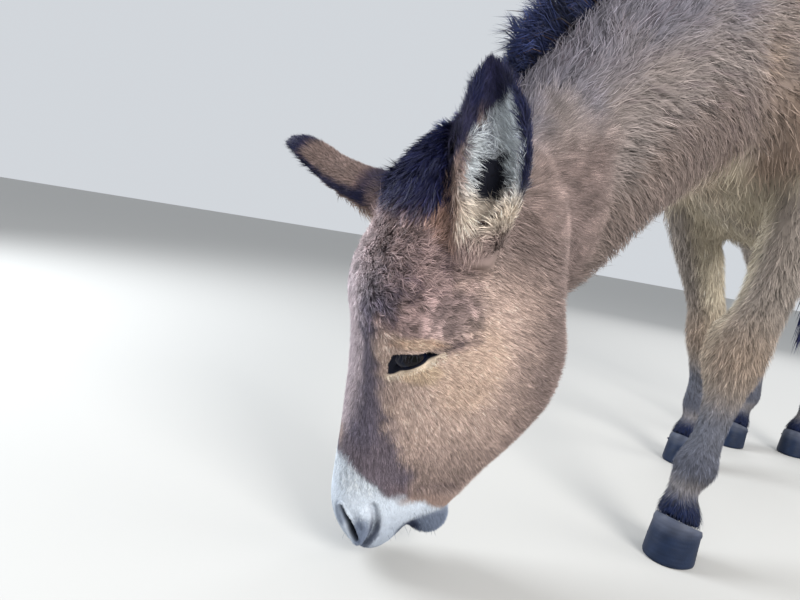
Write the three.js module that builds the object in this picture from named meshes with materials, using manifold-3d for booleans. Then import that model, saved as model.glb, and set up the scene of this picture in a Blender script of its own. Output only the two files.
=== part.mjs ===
// A young donkey grazing with its muzzle close to the ground, life-size, in millimetres, +Z up.
// It faces -Y and its left side is +X. The flesh is lofted in one piece from named sizes, then
// parted with thin cuts into head, neck, trunk, tail and legs; ears, eyes, hooves, mane, forelock
// and tail switch are solids of their own. Every solid reaches to the tips of the winter coat.

import * as THREE from "three";
import { mergeVertices } from "three/addons/utils/BufferGeometryUtils.js";
import Module from "manifold-3d";

const wasm = await Module();
wasm.setup();

// ---------------------------------------------------------------- driving dimensions

const HEAD_LENGTH = 495; // poll to upper lip
const HEAD_TURN = -22.7; // degrees: the head turned to the animal's right
const HEAD_NOD = 2.4; // degrees past the vertical
const HEAD_TILT = 8.2; // degrees: the poll leaning to the animal's left
const POLL = [-34, -688, 500]; // top of the head
const EYE_RADIUS = 20;
const EYE_AT = [202, 45, 68]; // down the face, in from its front, out to the side
const LIDS = [27, 12, 24]; // half-length, half-height and half-depth of the opening
const LID_SLANT = 21; // degrees: the outer corner higher than the inner one
const CHIN_AT = [447, 124, 0]; // middle of the lower lip and chin
const CHIN = [34, 30, 34]; // its half-sizes: front to back, up and down, across
const HOOF_HEIGHT = 69; // at the toe
const GAP = 0.4; // between neighbours that meet

const COLOURS = {
  head: 0xa38367,
  neck: 0x95806e,
  trunk: 0x9c8471,
  leg: 0x857767,
  dark: 0x2a2320,
  eye: 0x0c0a0a,
  hoof: 0x4b4f56,
};

// ---------------------------------------------------------------- loft helpers

/** Rows of numbers eased by a Catmull-Rom spline, `steps` rows for each gap of the table. */
function ease(rows, steps) {
  const out = [];
  for (let i = 0; i < rows.length - 1; i++) {
    const a = rows[Math.max(i - 1, 0)];
    const d = rows[Math.min(i + 2, rows.length - 1)];
    for (let k = 0; k < steps; k++) {
      const t = k / steps;
      out.push(rows[i].map((b, j) => {
        const c = rows[i + 1][j];
        return 0.5 * (2 * b + (c - a[j]) * t + (2 * a[j] - 5 * b + 4 * c - d[j]) * t * t
          + (3 * b - a[j] - 3 * c + d[j]) * t * t * t);
      }));
    }
  }
  out.push([...rows.at(-1)]);
  return out;
}

/** A closed solid through rings of equal count, with a fan over each end. */
function loft(rings) {
  const n = rings[0].length;
  const points = rings.flat();
  const ends = [rings[0], rings.at(-1)].map((ring) =>
    ring.reduce((sum, p) => sum.add(p), new THREE.Vector3()).divideScalar(n));
  points.push(...ends);
  const faces = [];
  for (let r = 0; r < rings.length - 1; r++) {
    for (let i = 0; i < n; i++) {
      const a = r * n + i;
      const b = r * n + (i + 1) % n;
      faces.push(a, b, b + n, a, b + n, a + n);
    }
  }
  const last = (rings.length - 1) * n;
  for (let i = 0; i < n; i++) {
    const j = (i + 1) % n;
    faces.push(points.length - 2, j, i, points.length - 1, last + i, last + j);
  }
  return solid(points, faces);
}

/** A manifold solid from points and triangles, its faces turned to point out. */
function solid(points, faces) {
  let volume = 0;
  const cross = new THREE.Vector3();
  for (let f = 0; f < faces.length; f += 3) {
    const [a, b, c] = [points[faces[f]], points[faces[f + 1]], points[faces[f + 2]]];
    volume += a.dot(cross.crossVectors(b, c));
  }
  const turned = volume < 0
    ? faces.map((_, i) => faces[i - (i % 3) + 2 - (i % 3)])
    : faces;
  return new wasm.Manifold(new wasm.Mesh({
    numProp: 3,
    vertProperties: Float32Array.from(points.flatMap((p) => p.toArray())),
    triVerts: Uint32Array.from(turned),
  }));
}

/** A three.js geometry as a manifold solid, placed by a matrix. */
function fromGeometry(geometry, matrix = new THREE.Matrix4()) {
  const g = geometry.clone().applyMatrix4(matrix);
  g.deleteAttribute("normal");
  g.deleteAttribute("uv");
  const merged = mergeVertices(g, 1e-4);
  return new wasm.Manifold(new wasm.Mesh({
    numProp: 3,
    vertProperties: Float32Array.from(merged.attributes.position.array),
    triVerts: Uint32Array.from(merged.index.array),
  }));
}

/**
 * A limb or body lofted along a path. Each row is x, y, z, half-width, and the reach of the
 * section to its front and to its back; `side` is the axis the width is measured along, and
 * the front lies towards path x side. `square` above 1 fills the corners of the sections.
 */
function limb(rows, { steps = 2, around = 16, side = [1, 0, 0], square = 1, grow = 0 } = {}) {
  const eased = ease(rows, steps);
  const at = eased.map((r) => new THREE.Vector3(r[0], r[1], r[2]));
  const across = new THREE.Vector3(...side);
  const rings = eased.map((r, i) => {
    const along = at[Math.min(i + 1, at.length - 1)].clone().sub(at[Math.max(i - 1, 0)]).normalize();
    const w = across.clone().addScaledVector(along, -across.dot(along)).normalize();
    const front = new THREE.Vector3().crossVectors(along, w);
    return Array.from({ length: around }, (_, k) => {
      const angle = (k / around) * 2 * Math.PI;
      const [c, s] = [Math.cos(angle), Math.sin(angle)];
      const bulge = (v) => Math.sign(v) * Math.abs(v) ** (1 / square);
      const reach = s > 0 ? r[4] : r[5];
      return at[i].clone()
        .addScaledVector(w, bulge(c) * (r[3] + grow))
        .addScaledVector(front, bulge(s) * (reach + grow));
    });
  });
  return loft(rings);
}

/** A flat slab that parts two pieces: centre, normal, and its half-extents. */
function slab(centre, normal, halfA, halfB) {
  const z = new THREE.Vector3(...normal).normalize();
  const x = new THREE.Vector3(Math.abs(z.x) > 0.9 ? 0 : 1, Math.abs(z.x) > 0.9 ? 1 : 0, 0);
  x.addScaledVector(z, -x.dot(z)).normalize();
  const y = new THREE.Vector3().crossVectors(z, x);
  const place = new THREE.Matrix4().makeBasis(x, y, z).setPosition(new THREE.Vector3(...centre));
  return fromGeometry(new THREE.BoxGeometry(2 * halfA, 2 * halfB, GAP), place);
}

// ---------------------------------------------------------------- head

const headTurn = new THREE.Matrix4().makeRotationFromEuler(new THREE.Euler(
  THREE.MathUtils.degToRad(HEAD_NOD), THREE.MathUtils.degToRad(HEAD_TILT),
  THREE.MathUtils.degToRad(HEAD_TURN), "ZXY"));

/** A point of the head: distance down the face, depth behind its front, distance to the left. */
function headPoint(down, depth, left) {
  return new THREE.Vector3(left, depth, -down).applyMatrix4(headTurn)
    .add(new THREE.Vector3(...POLL));
}

// down the face; front line; then (half-width, depth) of the brow edge, the cheekbone, the
// cheek and the jaw edge; line of the throat, and below the chin that of the upper lip
const HEAD_ROWS = [
  [-34, 78, 24, 82, 40, 100, 42, 130, 30, 156, 164],
  [-8, 41, 29, 48, 50, 72, 56, 120, 42, 172, 188],
  [26, 24, 34, 32, 57, 62, 63, 124, 50, 191, 212],
  [70, 5, 42, 14, 69, 52, 67, 136, 54, 204, 228],
  [115, -10, 57, -1, 84, 41, 69, 146, 57, 214, 238],
  [155, -15, 70, -4, 95, 38, 71, 152, 60, 225, 246],
  [190, -9, 65, 3, 96, 52, 73, 154, 61, 234, 256],
  [225, -5, 53, 6, 85, 62, 72, 153, 60, 236, 259],
  [265, -3, 45, 8, 72, 64, 66, 148, 57, 230, 253],
  [305, -3, 40, 9, 61, 60, 58, 136, 51, 211, 233],
  [345, -3, 37, 9, 53, 56, 50, 122, 44, 186, 207],
  [380, -3, 36, 7, 47, 52, 45, 108, 38, 163, 181],
  [412, -3, 36, 6, 46, 50, 43, 96, 35, 144, 162],
  [426, -3, 36, 7, 47, 46, 44, 86, 35, 128, 150],
  [438, -2, 37, 10, 47, 44, 44, 76, 34, 96, 104],
  [455, 4, 37, 15, 46, 42, 42, 72, 33, 87, 93],
  [474, 17, 32, 26, 40, 44, 38, 64, 28, 74, 78],
  [487, 34, 23, 38, 29, 47, 27, 57, 19, 62, 64],
  [HEAD_LENGTH, 46, 8, 48, 10, 51, 9, 54, 6, 56, 57],
];

/** The head, or the room it takes up when `grow` widens it. */
function headLoft(grow = 0) {
  return loft(ease(HEAD_ROWS, 2).map(([s, front, ...r]) => {
    const half = [[r[0], r[1]], [r[2], r[3]], [r[4], r[5]], [r[6], r[7]]];
    const outline = [
      headPoint(s, front, 0),
      ...half.map(([w, d]) => headPoint(s, d, w)),
      headPoint(s, r[8], 0),
      ...half.toReversed().map(([w, d]) => headPoint(s, d, -w)),
    ];
    const middle = headPoint(s, (front + r[8]) / 2, 0);
    return new THREE.CatmullRomCurve3(outline, true).getPoints(20).slice(0, -1)
      .map((p) => p.addScaledVector(p.clone().sub(middle).normalize(), grow));
  }));
}

/** An ellipsoid at a place of the head, its radii along the lids, across them and outwards. */
function headEgg([down, depth, left], radii, slant, rows) {
  const turned = (d, s) => headPoint(s, d, 0).sub(headPoint(0, 0, 0));
  const a = THREE.MathUtils.degToRad(slant);
  const along = turned(Math.cos(a), -Math.sin(a));
  const outwards = headPoint(0, 0, left < 0 ? -1 : 1).sub(headPoint(0, 0, 0));
  const up = new THREE.Vector3().crossVectors(outwards, along);
  const place = new THREE.Matrix4().makeBasis(along, up, outwards)
    .scale(new THREE.Vector3(...radii)).setPosition(headPoint(down, depth, left));
  return fromGeometry(new THREE.SphereGeometry(1, rows * 2, rows), place);
}

// ---------------------------------------------------------------- neck and trunk

const NECK_ROWS = [
  [0, 90, 815, 92, 190, 200],
  [0, -45, 788, 98, 182, 198],
  [0, -190, 726, 92, 173, 176],
  [0, -325, 634, 82, 160, 165],
  [0, -428, 533, 74, 149, 154],
  [1, -506, 462, 66, 133, 140],
  [4, -572, 410, 54, 103, 106],
];

const TRUNK_ROWS = [
  [0, -152, 742, 42, 60, 60],
  [0, -126, 750, 92, 118, 126],
  [0, -64, 764, 124, 186, 200],
  [0, 10, 776, 144, 230, 246],
  [-2, 100, 784, 162, 258, 258],
  [-10, 220, 786, 186, 276, 241],
  [-24, 350, 788, 210, 288, 226],
  [-42, 480, 796, 218, 290, 222],
  [-58, 600, 810, 208, 264, 230],
  [-70, 710, 828, 190, 226, 233],
  [-80, 805, 840, 166, 190, 216],
  [-86, 872, 840, 126, 150, 170],
  [-89, 908, 834, 64, 84, 96],
];

const TAIL_ROWS = [
  [-86, 850, 985, 34, 30, 30],
  [-88, 898, 970, 30, 27, 27],
  [-91, 936, 915, 25, 23, 23],
  [-93, 948, 830, 22, 20, 20],
  [-93, 948, 730, 20, 18, 18],
  [-91, 944, 630, 18, 17, 17],
  [-89, 940, 560, 14, 13, 13],
];

const SWITCH_ROWS = [
  [-90, 941, 600, 23, 22, 22],
  [-89, 939, 540, 33, 29, 29],
  [-87, 934, 460, 38, 33, 33],
  [-85, 929, 380, 32, 28, 28],
  [-83, 925, 320, 19, 17, 17],
  [-82, 923, 285, 6, 6, 6],
];

// ---------------------------------------------------------------- legs

// x, y, z, half-width, reach to the front, reach to the back
const LEG_ROWS = {
  foreleg_left: [
    [92, 44, 905, 30, 60, 60],
    [104, 26, 820, 50, 104, 104],
    [110, 36, 720, 62, 112, 114],
    [114, 62, 620, 60, 96, 102],
    [112, 50, 545, 52, 70, 74],
    [112, 20, 460, 43, 53, 55],
    [110, -12, 380, 39, 49, 42],
    [103, -32, 340, 49, 60, 41],
    [103, -48, 298, 48, 54, 38],
    [108, -66, 252, 31, 31, 31],
    [111, -87, 204, 23, 24, 25],
    [111, -103, 165, 25, 26, 28],
    [112, -117, 134, 33, 38, 32],
    [108, -130, 102, 21, 28, 20],
    [114, -140, 74, 31, 36, 26],
    [119, -149, 40, 37, 41, 28],
  ],
  foreleg_right: [
    [-92, 50, 905, 30, 60, 60],
    [-104, 50, 820, 50, 104, 104],
    [-110, 78, 720, 62, 112, 114],
    [-114, 120, 620, 60, 96, 102],
    [-110, 158, 545, 52, 70, 74],
    [-104, 210, 460, 43, 53, 55],
    [-99, 262, 380, 37, 44, 42],
    [-98, 282, 340, 42, 48, 41],
    [-99, 299, 296, 42, 44, 40],
    [-102, 313, 250, 30, 29, 32],
    [-108, 336, 204, 23, 24, 25],
    [-113, 352, 165, 25, 26, 28],
    [-114, 368, 134, 33, 36, 33],
    [-113, 362, 102, 23, 28, 22],
    [-111, 349, 74, 33, 36, 28],
    [-109, 337, 40, 37, 41, 28],
  ],
  hindleg_left: [
    [6, 745, 915, 62, 110, 120],
    [28, 752, 820, 82, 165, 152],
    [38, 752, 710, 80, 152, 138],
    [36, 757, 620, 65, 108, 104],
    [24, 790, 530, 48, 68, 70],
    [12, 838, 455, 36, 42, 52],
    [4, 866, 408, 38, 43, 50],
    [0, 878, 365, 34, 38, 44],
    [-6, 880, 300, 27, 28, 33],
    [-14, 876, 230, 25, 25, 30],
    [-20, 870, 175, 27, 28, 33],
    [-24, 864, 134, 33, 36, 36],
    [-28, 846, 102, 23, 28, 24],
    [-30, 832, 74, 33, 36, 28],
    [-32, 821, 40, 37, 41, 28],
  ],
  hindleg_right: [
    [-156, 735, 915, 62, 110, 120],
    [-180, 725, 820, 82, 165, 152],
    [-190, 702, 710, 80, 152, 138],
    [-187, 686, 620, 65, 108, 104],
    [-176, 704, 530, 48, 68, 70],
    [-166, 734, 455, 36, 42, 52],
    [-158, 752, 408, 38, 43, 50],
    [-154, 757, 365, 34, 38, 44],
    [-150, 749, 300, 27, 28, 33],
    [-146, 737, 230, 25, 25, 30],
    [-142, 724, 175, 27, 28, 33],
    [-140, 714, 134, 33, 36, 36],
    [-140, 696, 102, 23, 28, 24],
    [-139, 680, 74, 33, 36, 28],
    [-138, 669, 40, 37, 41, 28],
  ],
};
const FEET = Object.fromEntries(Object.entries(LEG_ROWS).map(([name, rows]) =>
  [name, rows.at(-1).slice(0, 2)]));

/** A hoof: a slanting capsule of horn from the flat sole up to a coronet that is high in front. */
function hoof([x, y], grow = 0) {
  const rows = [
    // height, centre along Y, half-width, reach to the toe, reach to the heel
    [0, -6, 36, 42, 31],
    [4, -6, 37, 43, 32],
    [26, -3, 36, 42, 31],
    [50, 1, 35, 40, 29],
    [HOOF_HEIGHT, 5, 33.5, 38, 28],
  ];
  const rings = rows.map(([h, dy, w, toe, heel]) => Array.from({ length: 16 }, (_, k) => {
    const angle = (k / 16) * 2 * Math.PI;
    const [c, s] = [Math.cos(angle), Math.sin(angle)];
    const reach = s < 0 ? toe : heel;
    const square = (v) => Math.sign(v) * Math.abs(v) ** 0.9;
    // the coronet falls by a third from the toe to the heel
    const drop = 1 - 0.2 * (1 + s);
    return new THREE.Vector3(x + square(c) * (w + grow), y + dy + square(s) * (reach + grow),
      h * drop + (h > 0 ? grow : 0));
  }));
  return loft(rings);
}

/** Everything under a foot's coronet, a little larger than the hoof, to end the leg on it. */
function hoofRoom([x, y]) {
  const top = hoof([x, y], GAP);
  const lowest = HOOF_HEIGHT * 0.6 + GAP;
  const collar = fromGeometry(new THREE.BoxGeometry(150, 150, lowest),
    new THREE.Matrix4().setPosition(x, y, lowest / 2));
  return top.add(collar);
}

// ---------------------------------------------------------------- ears

/**
 * An ear: a leaf of cartilage and fur rolled into a cup. Each ring is a crescent, its back
 * outside and its hollow inside, that closes to a full round at the root. A `slim` ear is
 * rolled tighter along its middle.
 */
function ear({ path, opening, slim }, grow = 0) {
  const curve = new THREE.CatmullRomCurve3(path.map((p) => new THREE.Vector3(...p)));
  // share of the length, radius, half-angle of the wall, wall, bend away from the opening
  const rows = [
    [-0.16, 25, 178, 22, 0],
    [-0.02, 29, 176, 24, 0],
    [0.08, 32, 160, 15, 0],
    [0.2, 36, 136, 9, 2],
    [0.34, 42, 124, 8, 5],
    [0.5, 42, 114, 8, 8],
    [0.66, 38, 108, 8, 9],
    [0.8, 30, 102, 8, 8],
    [0.91, 20, 92, 8, 5],
    [0.98, 10, 85, 6, 2],
    [1, 5, 80, 4, 1],
  ];
  const rings = rows.map(([share, round, half, wall, bend]) => {
    const radius = round * (1 - slim * Math.sin(Math.PI * Math.max(share, 0)));
    const axis = curve.getTangent(Math.max(share, 0));
    const out = new THREE.Vector3(...opening);
    out.addScaledVector(axis, -out.dot(axis)).normalize();
    const side = new THREE.Vector3().crossVectors(axis, out);
    const centre = curve.getPoint(Math.max(share, 0))
      .addScaledVector(axis, Math.min(share, 0) * curve.getLength())
      .addScaledVector(out, -bend);
    const at = (r, degrees) => {
      const a = THREE.MathUtils.degToRad(degrees);
      return centre.clone().addScaledVector(out, -Math.cos(a) * r)
        .addScaledVector(side, Math.sin(a) * r);
    };
    const outer = [-1, -0.75, -0.5, -0.25, 0, 0.25, 0.5, 0.75, 1]
      .map((k) => at(radius + grow, k * half));
    const inner = [0.96, 0.66, 0.33, 0, -0.33, -0.66, -0.96]
      .map((k) => at(Math.max(radius - wall - grow, 0.6), k * half));
    return [...outer, ...inner];
  });
  return loft(rings);
}

const EARS = {
  ear_left: {
    path: [[60, -622, 429], [68, -630, 513], [12, -602, 625]],
    opening: [0.71, -0.69, -0.1],
    slim: 0.07,
  },
  ear_right: {
    path: [[-77, -636, 456], [-182, -660, 470], [-268, -691, 512]],
    opening: [-0.15, 0.15, -0.98],
    slim: 0.36,
  },
};

// ---------------------------------------------------------------- mane and forelock

// along the crest: x, y, z, half-thickness, reach up, reach down
const MANE_ROWS = [
  [0, 60, 1016, 4, 8, 22],
  [0, -60, 985, 8, 24, 24],
  [0, -170, 932, 12, 40, 26],
  [0, -300, 846, 15, 50, 30],
  [0, -415, 736, 16, 54, 30],
  [-4, -505, 630, 17, 52, 30],
  [-10, -565, 560, 18, 46, 30],
  [-18, -612, 520, 14, 32, 26],
];
// down the front of the head from the poll: down, depth, half-width, reach out, reach in
const FORELOCK_ROWS = [
  [-44, 74, 15, 16, 18],
  [-26, 59, 25, 20, 22],
  [0, 38, 30, 17, 22],
  [30, 23, 29, 12, 20],
  [58, 11, 23, 9, 14],
  [84, 1, 10, 5, 8],
];

// ---------------------------------------------------------------- flesh, parted

/** The whole of the flesh in one piece, or the room it takes up when `grow` widens it. */
function wholeFlesh(grow = 0) {
  return [
    limb(TRUNK_ROWS, { around: 16, square: 1.08, grow }),
    limb(NECK_ROWS, { around: 16, square: 1.05, grow }),
    headLoft(grow),
    headEgg(CHIN_AT, CHIN.map((reach) => reach + grow), 0, 7),
    ...Object.entries(LEG_ROWS).map(([name, rows]) =>
      limb(rows, { around: 10, grow }).subtract(hoofRoom(FEET[name]))),
  ].reduce((all, piece) => all.add(piece));
}

/** A material of the coat, horn or eye. */
function material(color, roughness) {
  return new THREE.MeshStandardMaterial({ color, roughness, metalness: 0 });
}

const model = new THREE.Group();

/** Adds a manifold solid to the model as a named mesh. */
function put(name, piece, color, roughness = 0.9) {
  const mesh = piece.getMesh();
  const geometry = new THREE.BufferGeometry();
  geometry.setAttribute("position", new THREE.BufferAttribute(mesh.vertProperties, 3));
  geometry.setIndex(new THREE.BufferAttribute(mesh.triVerts, 1));
  geometry.computeVertexNormals();
  const part = new THREE.Mesh(geometry, material(color, roughness));
  part.name = name;
  model.add(part);
}

const room = wholeFlesh(GAP);

const eyes = Object.fromEntries([["eye_left", 1], ["eye_right", -1]].map(([name, hand]) => {
  const at = [EYE_AT[0], EYE_AT[1], hand * EYE_AT[2]];
  const lids = [at[0], at[1], hand * (EYE_AT[2] + EYE_RADIUS + 6)];
  const sized = (r) => headEgg(at, [r, r, r], 0, 6);
  return [name, { ball: sized(EYE_RADIUS), socket: sized(EYE_RADIUS + GAP)
    .add(headEgg(lids, LIDS, LID_SLANT, 4)) }];
}));
const flesh = Object.values(eyes).reduce((body, eye) => body.subtract(eye.socket), wholeFlesh());

const headLeft = headPoint(0, 0, 1).sub(headPoint(0, 0, 0));

/** The tuft between the ears, or the room it takes up. */
function forelock(grow = 0) {
  const rows = FORELOCK_ROWS.map(([down, depth, ...reach]) =>
    [...headPoint(down, depth, 0).toArray(), ...reach]);
  return limb(rows, { around: 10, steps: 1, side: headLeft.toArray(), grow });
}

// A point inside each piece of the flesh tells it from the others.
const PIECES = {
  head: headPoint(200, 130, 0).toArray(),
  neck: [0, -325, 634],
  trunk: [-20, 350, 788],
  foreleg_left: [112, 20, 460],
  foreleg_right: [-104, 210, 460],
  hindleg_left: [24, 790, 500],
  hindleg_right: [-176, 710, 500],
};

// Cuts that part the flesh: centre, normal and half-extents of each thin slab.
const acrossPoll = headPoint(-22, 52, 0);
const alongThroat = headPoint(98, 250, 0).sub(acrossPoll);
const headCut = new THREE.Vector3().crossVectors(headLeft, alongThroat);
const CUTS = [
  [acrossPoll.clone().addScaledVector(alongThroat, 0.5).toArray(), headCut.toArray(), 120, 230],
  [[0, -96, 770], [0, -0.94, 0.34], 190, 300],
  [[112, 36, 506], [0, 0, 1], 78, 90],
  [[-107, 186, 504], [0, 0, 1], 78, 84],
  [[30, 775, 534], [0, 0, 1], 70, 110],
  [[-182, 700, 534], [0, 0, 1], 70, 106],
];
const pieces = CUTS.reduce((body, cut) => body.subtract(slab(...cut)), flesh).decompose();

for (const [name, inside] of Object.entries(PIECES)) {
  const probe = fromGeometry(new THREE.BoxGeometry(6, 6, 6),
    new THREE.Matrix4().setPosition(...inside));
  put(name, pieces.find((body) => body.intersect(probe).volume() > 1), COLOURS[name] ?? COLOURS.leg);
}
for (const [name, foot] of Object.entries(FEET)) {
  put(name.replace("leg", "hoof"), hoof(foot), COLOURS.hoof, 0.5);
}
for (const [name, shape] of Object.entries(EARS)) {
  put(name, ear(shape).subtract(room), COLOURS.head);
}
for (const [name, { ball }] of Object.entries(eyes)) {
  put(name, ball, COLOURS.eye, 0.1);
}
const crest = limb(MANE_ROWS, { around: 10, steps: 1 });
const ears = Object.values(EARS).reduce((all, shape) => all.add(ear(shape, GAP)), room);
put("forelock", forelock().subtract(ears), COLOURS.dark);
put("mane", crest.subtract(forelock(GAP)).subtract(ears), COLOURS.dark);
put("tail", limb(TAIL_ROWS, { around: 8, steps: 1 }).subtract(room), COLOURS.trunk);
put("tail_switch", limb(SWITCH_ROWS, { around: 8, steps: 1 })
  .subtract(limb(TAIL_ROWS, { around: 8, steps: 1, grow: GAP })), COLOURS.dark);

// the soles stand on z = 0, under the middle of the whole animal
const box = new THREE.Box3().setFromObject(model, true);
model.position.set(-(box.min.x + box.max.x) / 2, -(box.min.y + box.max.y) / 2, 0);
model.updateMatrixWorld(true);

export default model;
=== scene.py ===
# %% [markdown]
# # A grazing donkey in its winter coat
# A donkey stands with its head down to the ground. Four things make it look alive: a skin
# melted from all the flesh at once, a coat of many thin tufts that follow the lie of the
# hair, wet dark eyes between rolled lids, and hard grey hooves. The solids that carry the
# donkey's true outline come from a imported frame, and everything below is built inside it.

import math

import bmesh
import bpy
import numpy as np
from mathutils import Matrix, Vector
from mathutils.bvhtree import BVHTree


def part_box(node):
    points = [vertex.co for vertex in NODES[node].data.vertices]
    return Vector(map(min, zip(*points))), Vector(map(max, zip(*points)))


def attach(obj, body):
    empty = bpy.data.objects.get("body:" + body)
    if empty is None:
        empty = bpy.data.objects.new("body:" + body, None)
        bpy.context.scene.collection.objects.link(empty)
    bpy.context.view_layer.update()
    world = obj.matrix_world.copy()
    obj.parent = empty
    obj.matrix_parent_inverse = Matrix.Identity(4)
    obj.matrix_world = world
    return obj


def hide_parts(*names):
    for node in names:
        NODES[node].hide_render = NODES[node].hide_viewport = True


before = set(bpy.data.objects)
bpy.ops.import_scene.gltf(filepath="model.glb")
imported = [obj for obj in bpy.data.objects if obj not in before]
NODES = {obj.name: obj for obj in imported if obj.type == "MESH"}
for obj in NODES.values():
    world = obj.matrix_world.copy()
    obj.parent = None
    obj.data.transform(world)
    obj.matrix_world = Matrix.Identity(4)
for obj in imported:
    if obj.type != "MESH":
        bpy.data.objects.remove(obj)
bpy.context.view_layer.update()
SIDES = (("left", 1), ("right", -1))
print(len(NODES), "solids loaded")

# %% [markdown]
# ## Camera, floor and light
# A camera low on the donkey's near side looks at the face from close by. The floor is a
# plain pale sheet, and four large soft lamps with a pale sky keep the shadows gentle, so
# that the coat's own shades are what one sees.

# %% Camera
CAMERA_AT = Vector((0.5348, -1.1772, 0.415))
AZIMUTH = math.radians(52.0)
PITCH = math.radians(6.4)
ROLL = math.radians(9.6)
LENS = 25.875

forward = Vector((
    -math.sin(AZIMUTH) * math.cos(PITCH),
    math.cos(AZIMUTH) * math.cos(PITCH),
    -math.sin(PITCH),
))
level = Vector((math.cos(AZIMUTH), math.sin(AZIMUTH), 0))
upright = level.cross(forward)
right = level * math.cos(ROLL) + upright * math.sin(ROLL)
up = upright * math.cos(ROLL) - level * math.sin(ROLL)

camera = bpy.data.objects.new("camera", bpy.data.cameras.new("camera"))
bpy.context.scene.collection.objects.link(camera)
camera.data.lens = LENS
camera.data.sensor_width = 36
camera.data.clip_start = 0.01
turn = Matrix((right, up, -forward)).transposed().to_4x4()
camera.matrix_world = Matrix.Translation(CAMERA_AT) @ turn
bpy.context.scene.camera = camera
bpy.context.scene.view_settings.view_transform = "Standard"
print("camera at", tuple(round(v, 2) for v in CAMERA_AT))


# %% Floor and lamps
def plain_material(name, colour, roughness):
    """A material of one colour, for the stage only."""
    material = bpy.data.materials.new(name)
    material.use_nodes = True
    shader = material.node_tree.nodes["Principled BSDF"]
    shader.inputs["Base Color"].default_value = (*colour, 1)
    shader.inputs["Roughness"].default_value = roughness
    return material


def soft_lamp(name, place, target, size, power, colour):
    """A square area lamp at a place, aimed at a target."""
    data = bpy.data.lights.new(name, "AREA")
    data.size = size
    data.energy = power
    data.color = colour
    lamp = bpy.data.objects.new(name, data)
    bpy.context.scene.collection.objects.link(lamp)
    aim = (Vector(target) - Vector(place)).to_track_quat("-Z", "Y")
    lamp.matrix_world = Matrix.Translation(place) @ aim.to_matrix().to_4x4()


bpy.ops.object.select_all(action="DESELECT")
bpy.ops.mesh.primitive_plane_add(size=60, location=(0, 0, -0.0005))
floor = bpy.context.object
floor.name = "floor"
floor.data.materials.append(plain_material("floor_pale", (0.46, 0.455, 0.44), 0.9))

world = bpy.data.worlds.new("studio")
bpy.context.scene.world = world
world.use_nodes = True
world.node_tree.nodes["Background"].inputs["Color"].default_value = (0.86, 0.90, 0.95, 1)
world.node_tree.nodes["Background"].inputs["Strength"].default_value = 0.75

MIDDLE = (0, -0.3, 0.5)
soft_lamp("key", (2.6, -0.9, 1.7), MIDDLE, 1.3, 100, (1.0, 0.98, 0.95))
soft_lamp("side", (2.4, 2.2, 1.5), (0, 0.2, 0.5), 2.0, 45, (1.0, 0.98, 0.95))
soft_lamp("rim", (-2.2, -2.2, 1.9), MIDDLE, 1.8, 140, (0.92, 0.96, 1.0))
soft_lamp("back", (-1.0, 3.4, 2.2), (0, 0.4, 0.7), 2.0, 50, (0.97, 0.98, 1.0))
print("stage and lamps are up")

# %% [markdown]
# ## A frame for the head
# The head hangs turned and tilted, so its own measures are easier: how far **down** the
# face from the poll, how **deep** behind the front of the face, and how far to its
# **left**, all in millimetres. Two helpers turn those into the scene's metres and back.

# %% Head frame
MM = 0.001
POLL = np.array([0.0088, -0.8202, 0.500])
HEAD = np.array(
    Matrix.Rotation(math.radians(-22.7), 3, "Z")
    @ Matrix.Rotation(math.radians(2.4), 3, "X")
    @ Matrix.Rotation(math.radians(8.2), 3, "Y")
)


def head_point(down, depth, left):
    """A point of the head in the scene's metres."""
    return np.array([left, depth, -down]) * MM @ HEAD.T + POLL


def head_coords(points):
    """Down, depth and left of each point, in millimetres."""
    local = (np.asarray(points) - POLL) @ HEAD / MM
    return -local[..., 2], local[..., 1], local[..., 0]


def smoothstep(low, high, value):
    t = np.clip((value - low) / (high - low), 0, 1)
    return t * t * (3 - 2 * t)


def waves(points, size, seed, count=7):
    """A smooth value from about -1 to 1 that wanders over a given size, in metres."""
    draw = np.random.default_rng(seed)
    ways = draw.normal(size=(count, 3))
    ways *= (2 * np.pi / size) * draw.uniform(0.6, 1.5, (count, 1)) / np.linalg.norm(
        ways, axis=1, keepdims=True)
    total = np.sin(points @ ways.T + draw.uniform(0, 6.28, count)).sum(1)
    return total / math.sqrt(count)


def streaks(places, way, size, seed):
    """A smooth value that changes across the hair but keeps along it."""
    steps = np.linspace(-2.4, 2.4, 7) * size
    return sum(waves(places + way * step, size, seed) for step in steps) * 0.35


print("poll at", POLL)

# %% [markdown]
# ## The lie of the coat
# Hair never grows at random: it streams from whorls and partings. At each landmark below
# the table says which way the hair points, how long it is, how far it stands off the skin
# (rise over length) and how curly it is. A point between landmarks blends its neighbours.
# The same table gives the depth of the coat, which is how far the skin lies inside it.

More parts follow.
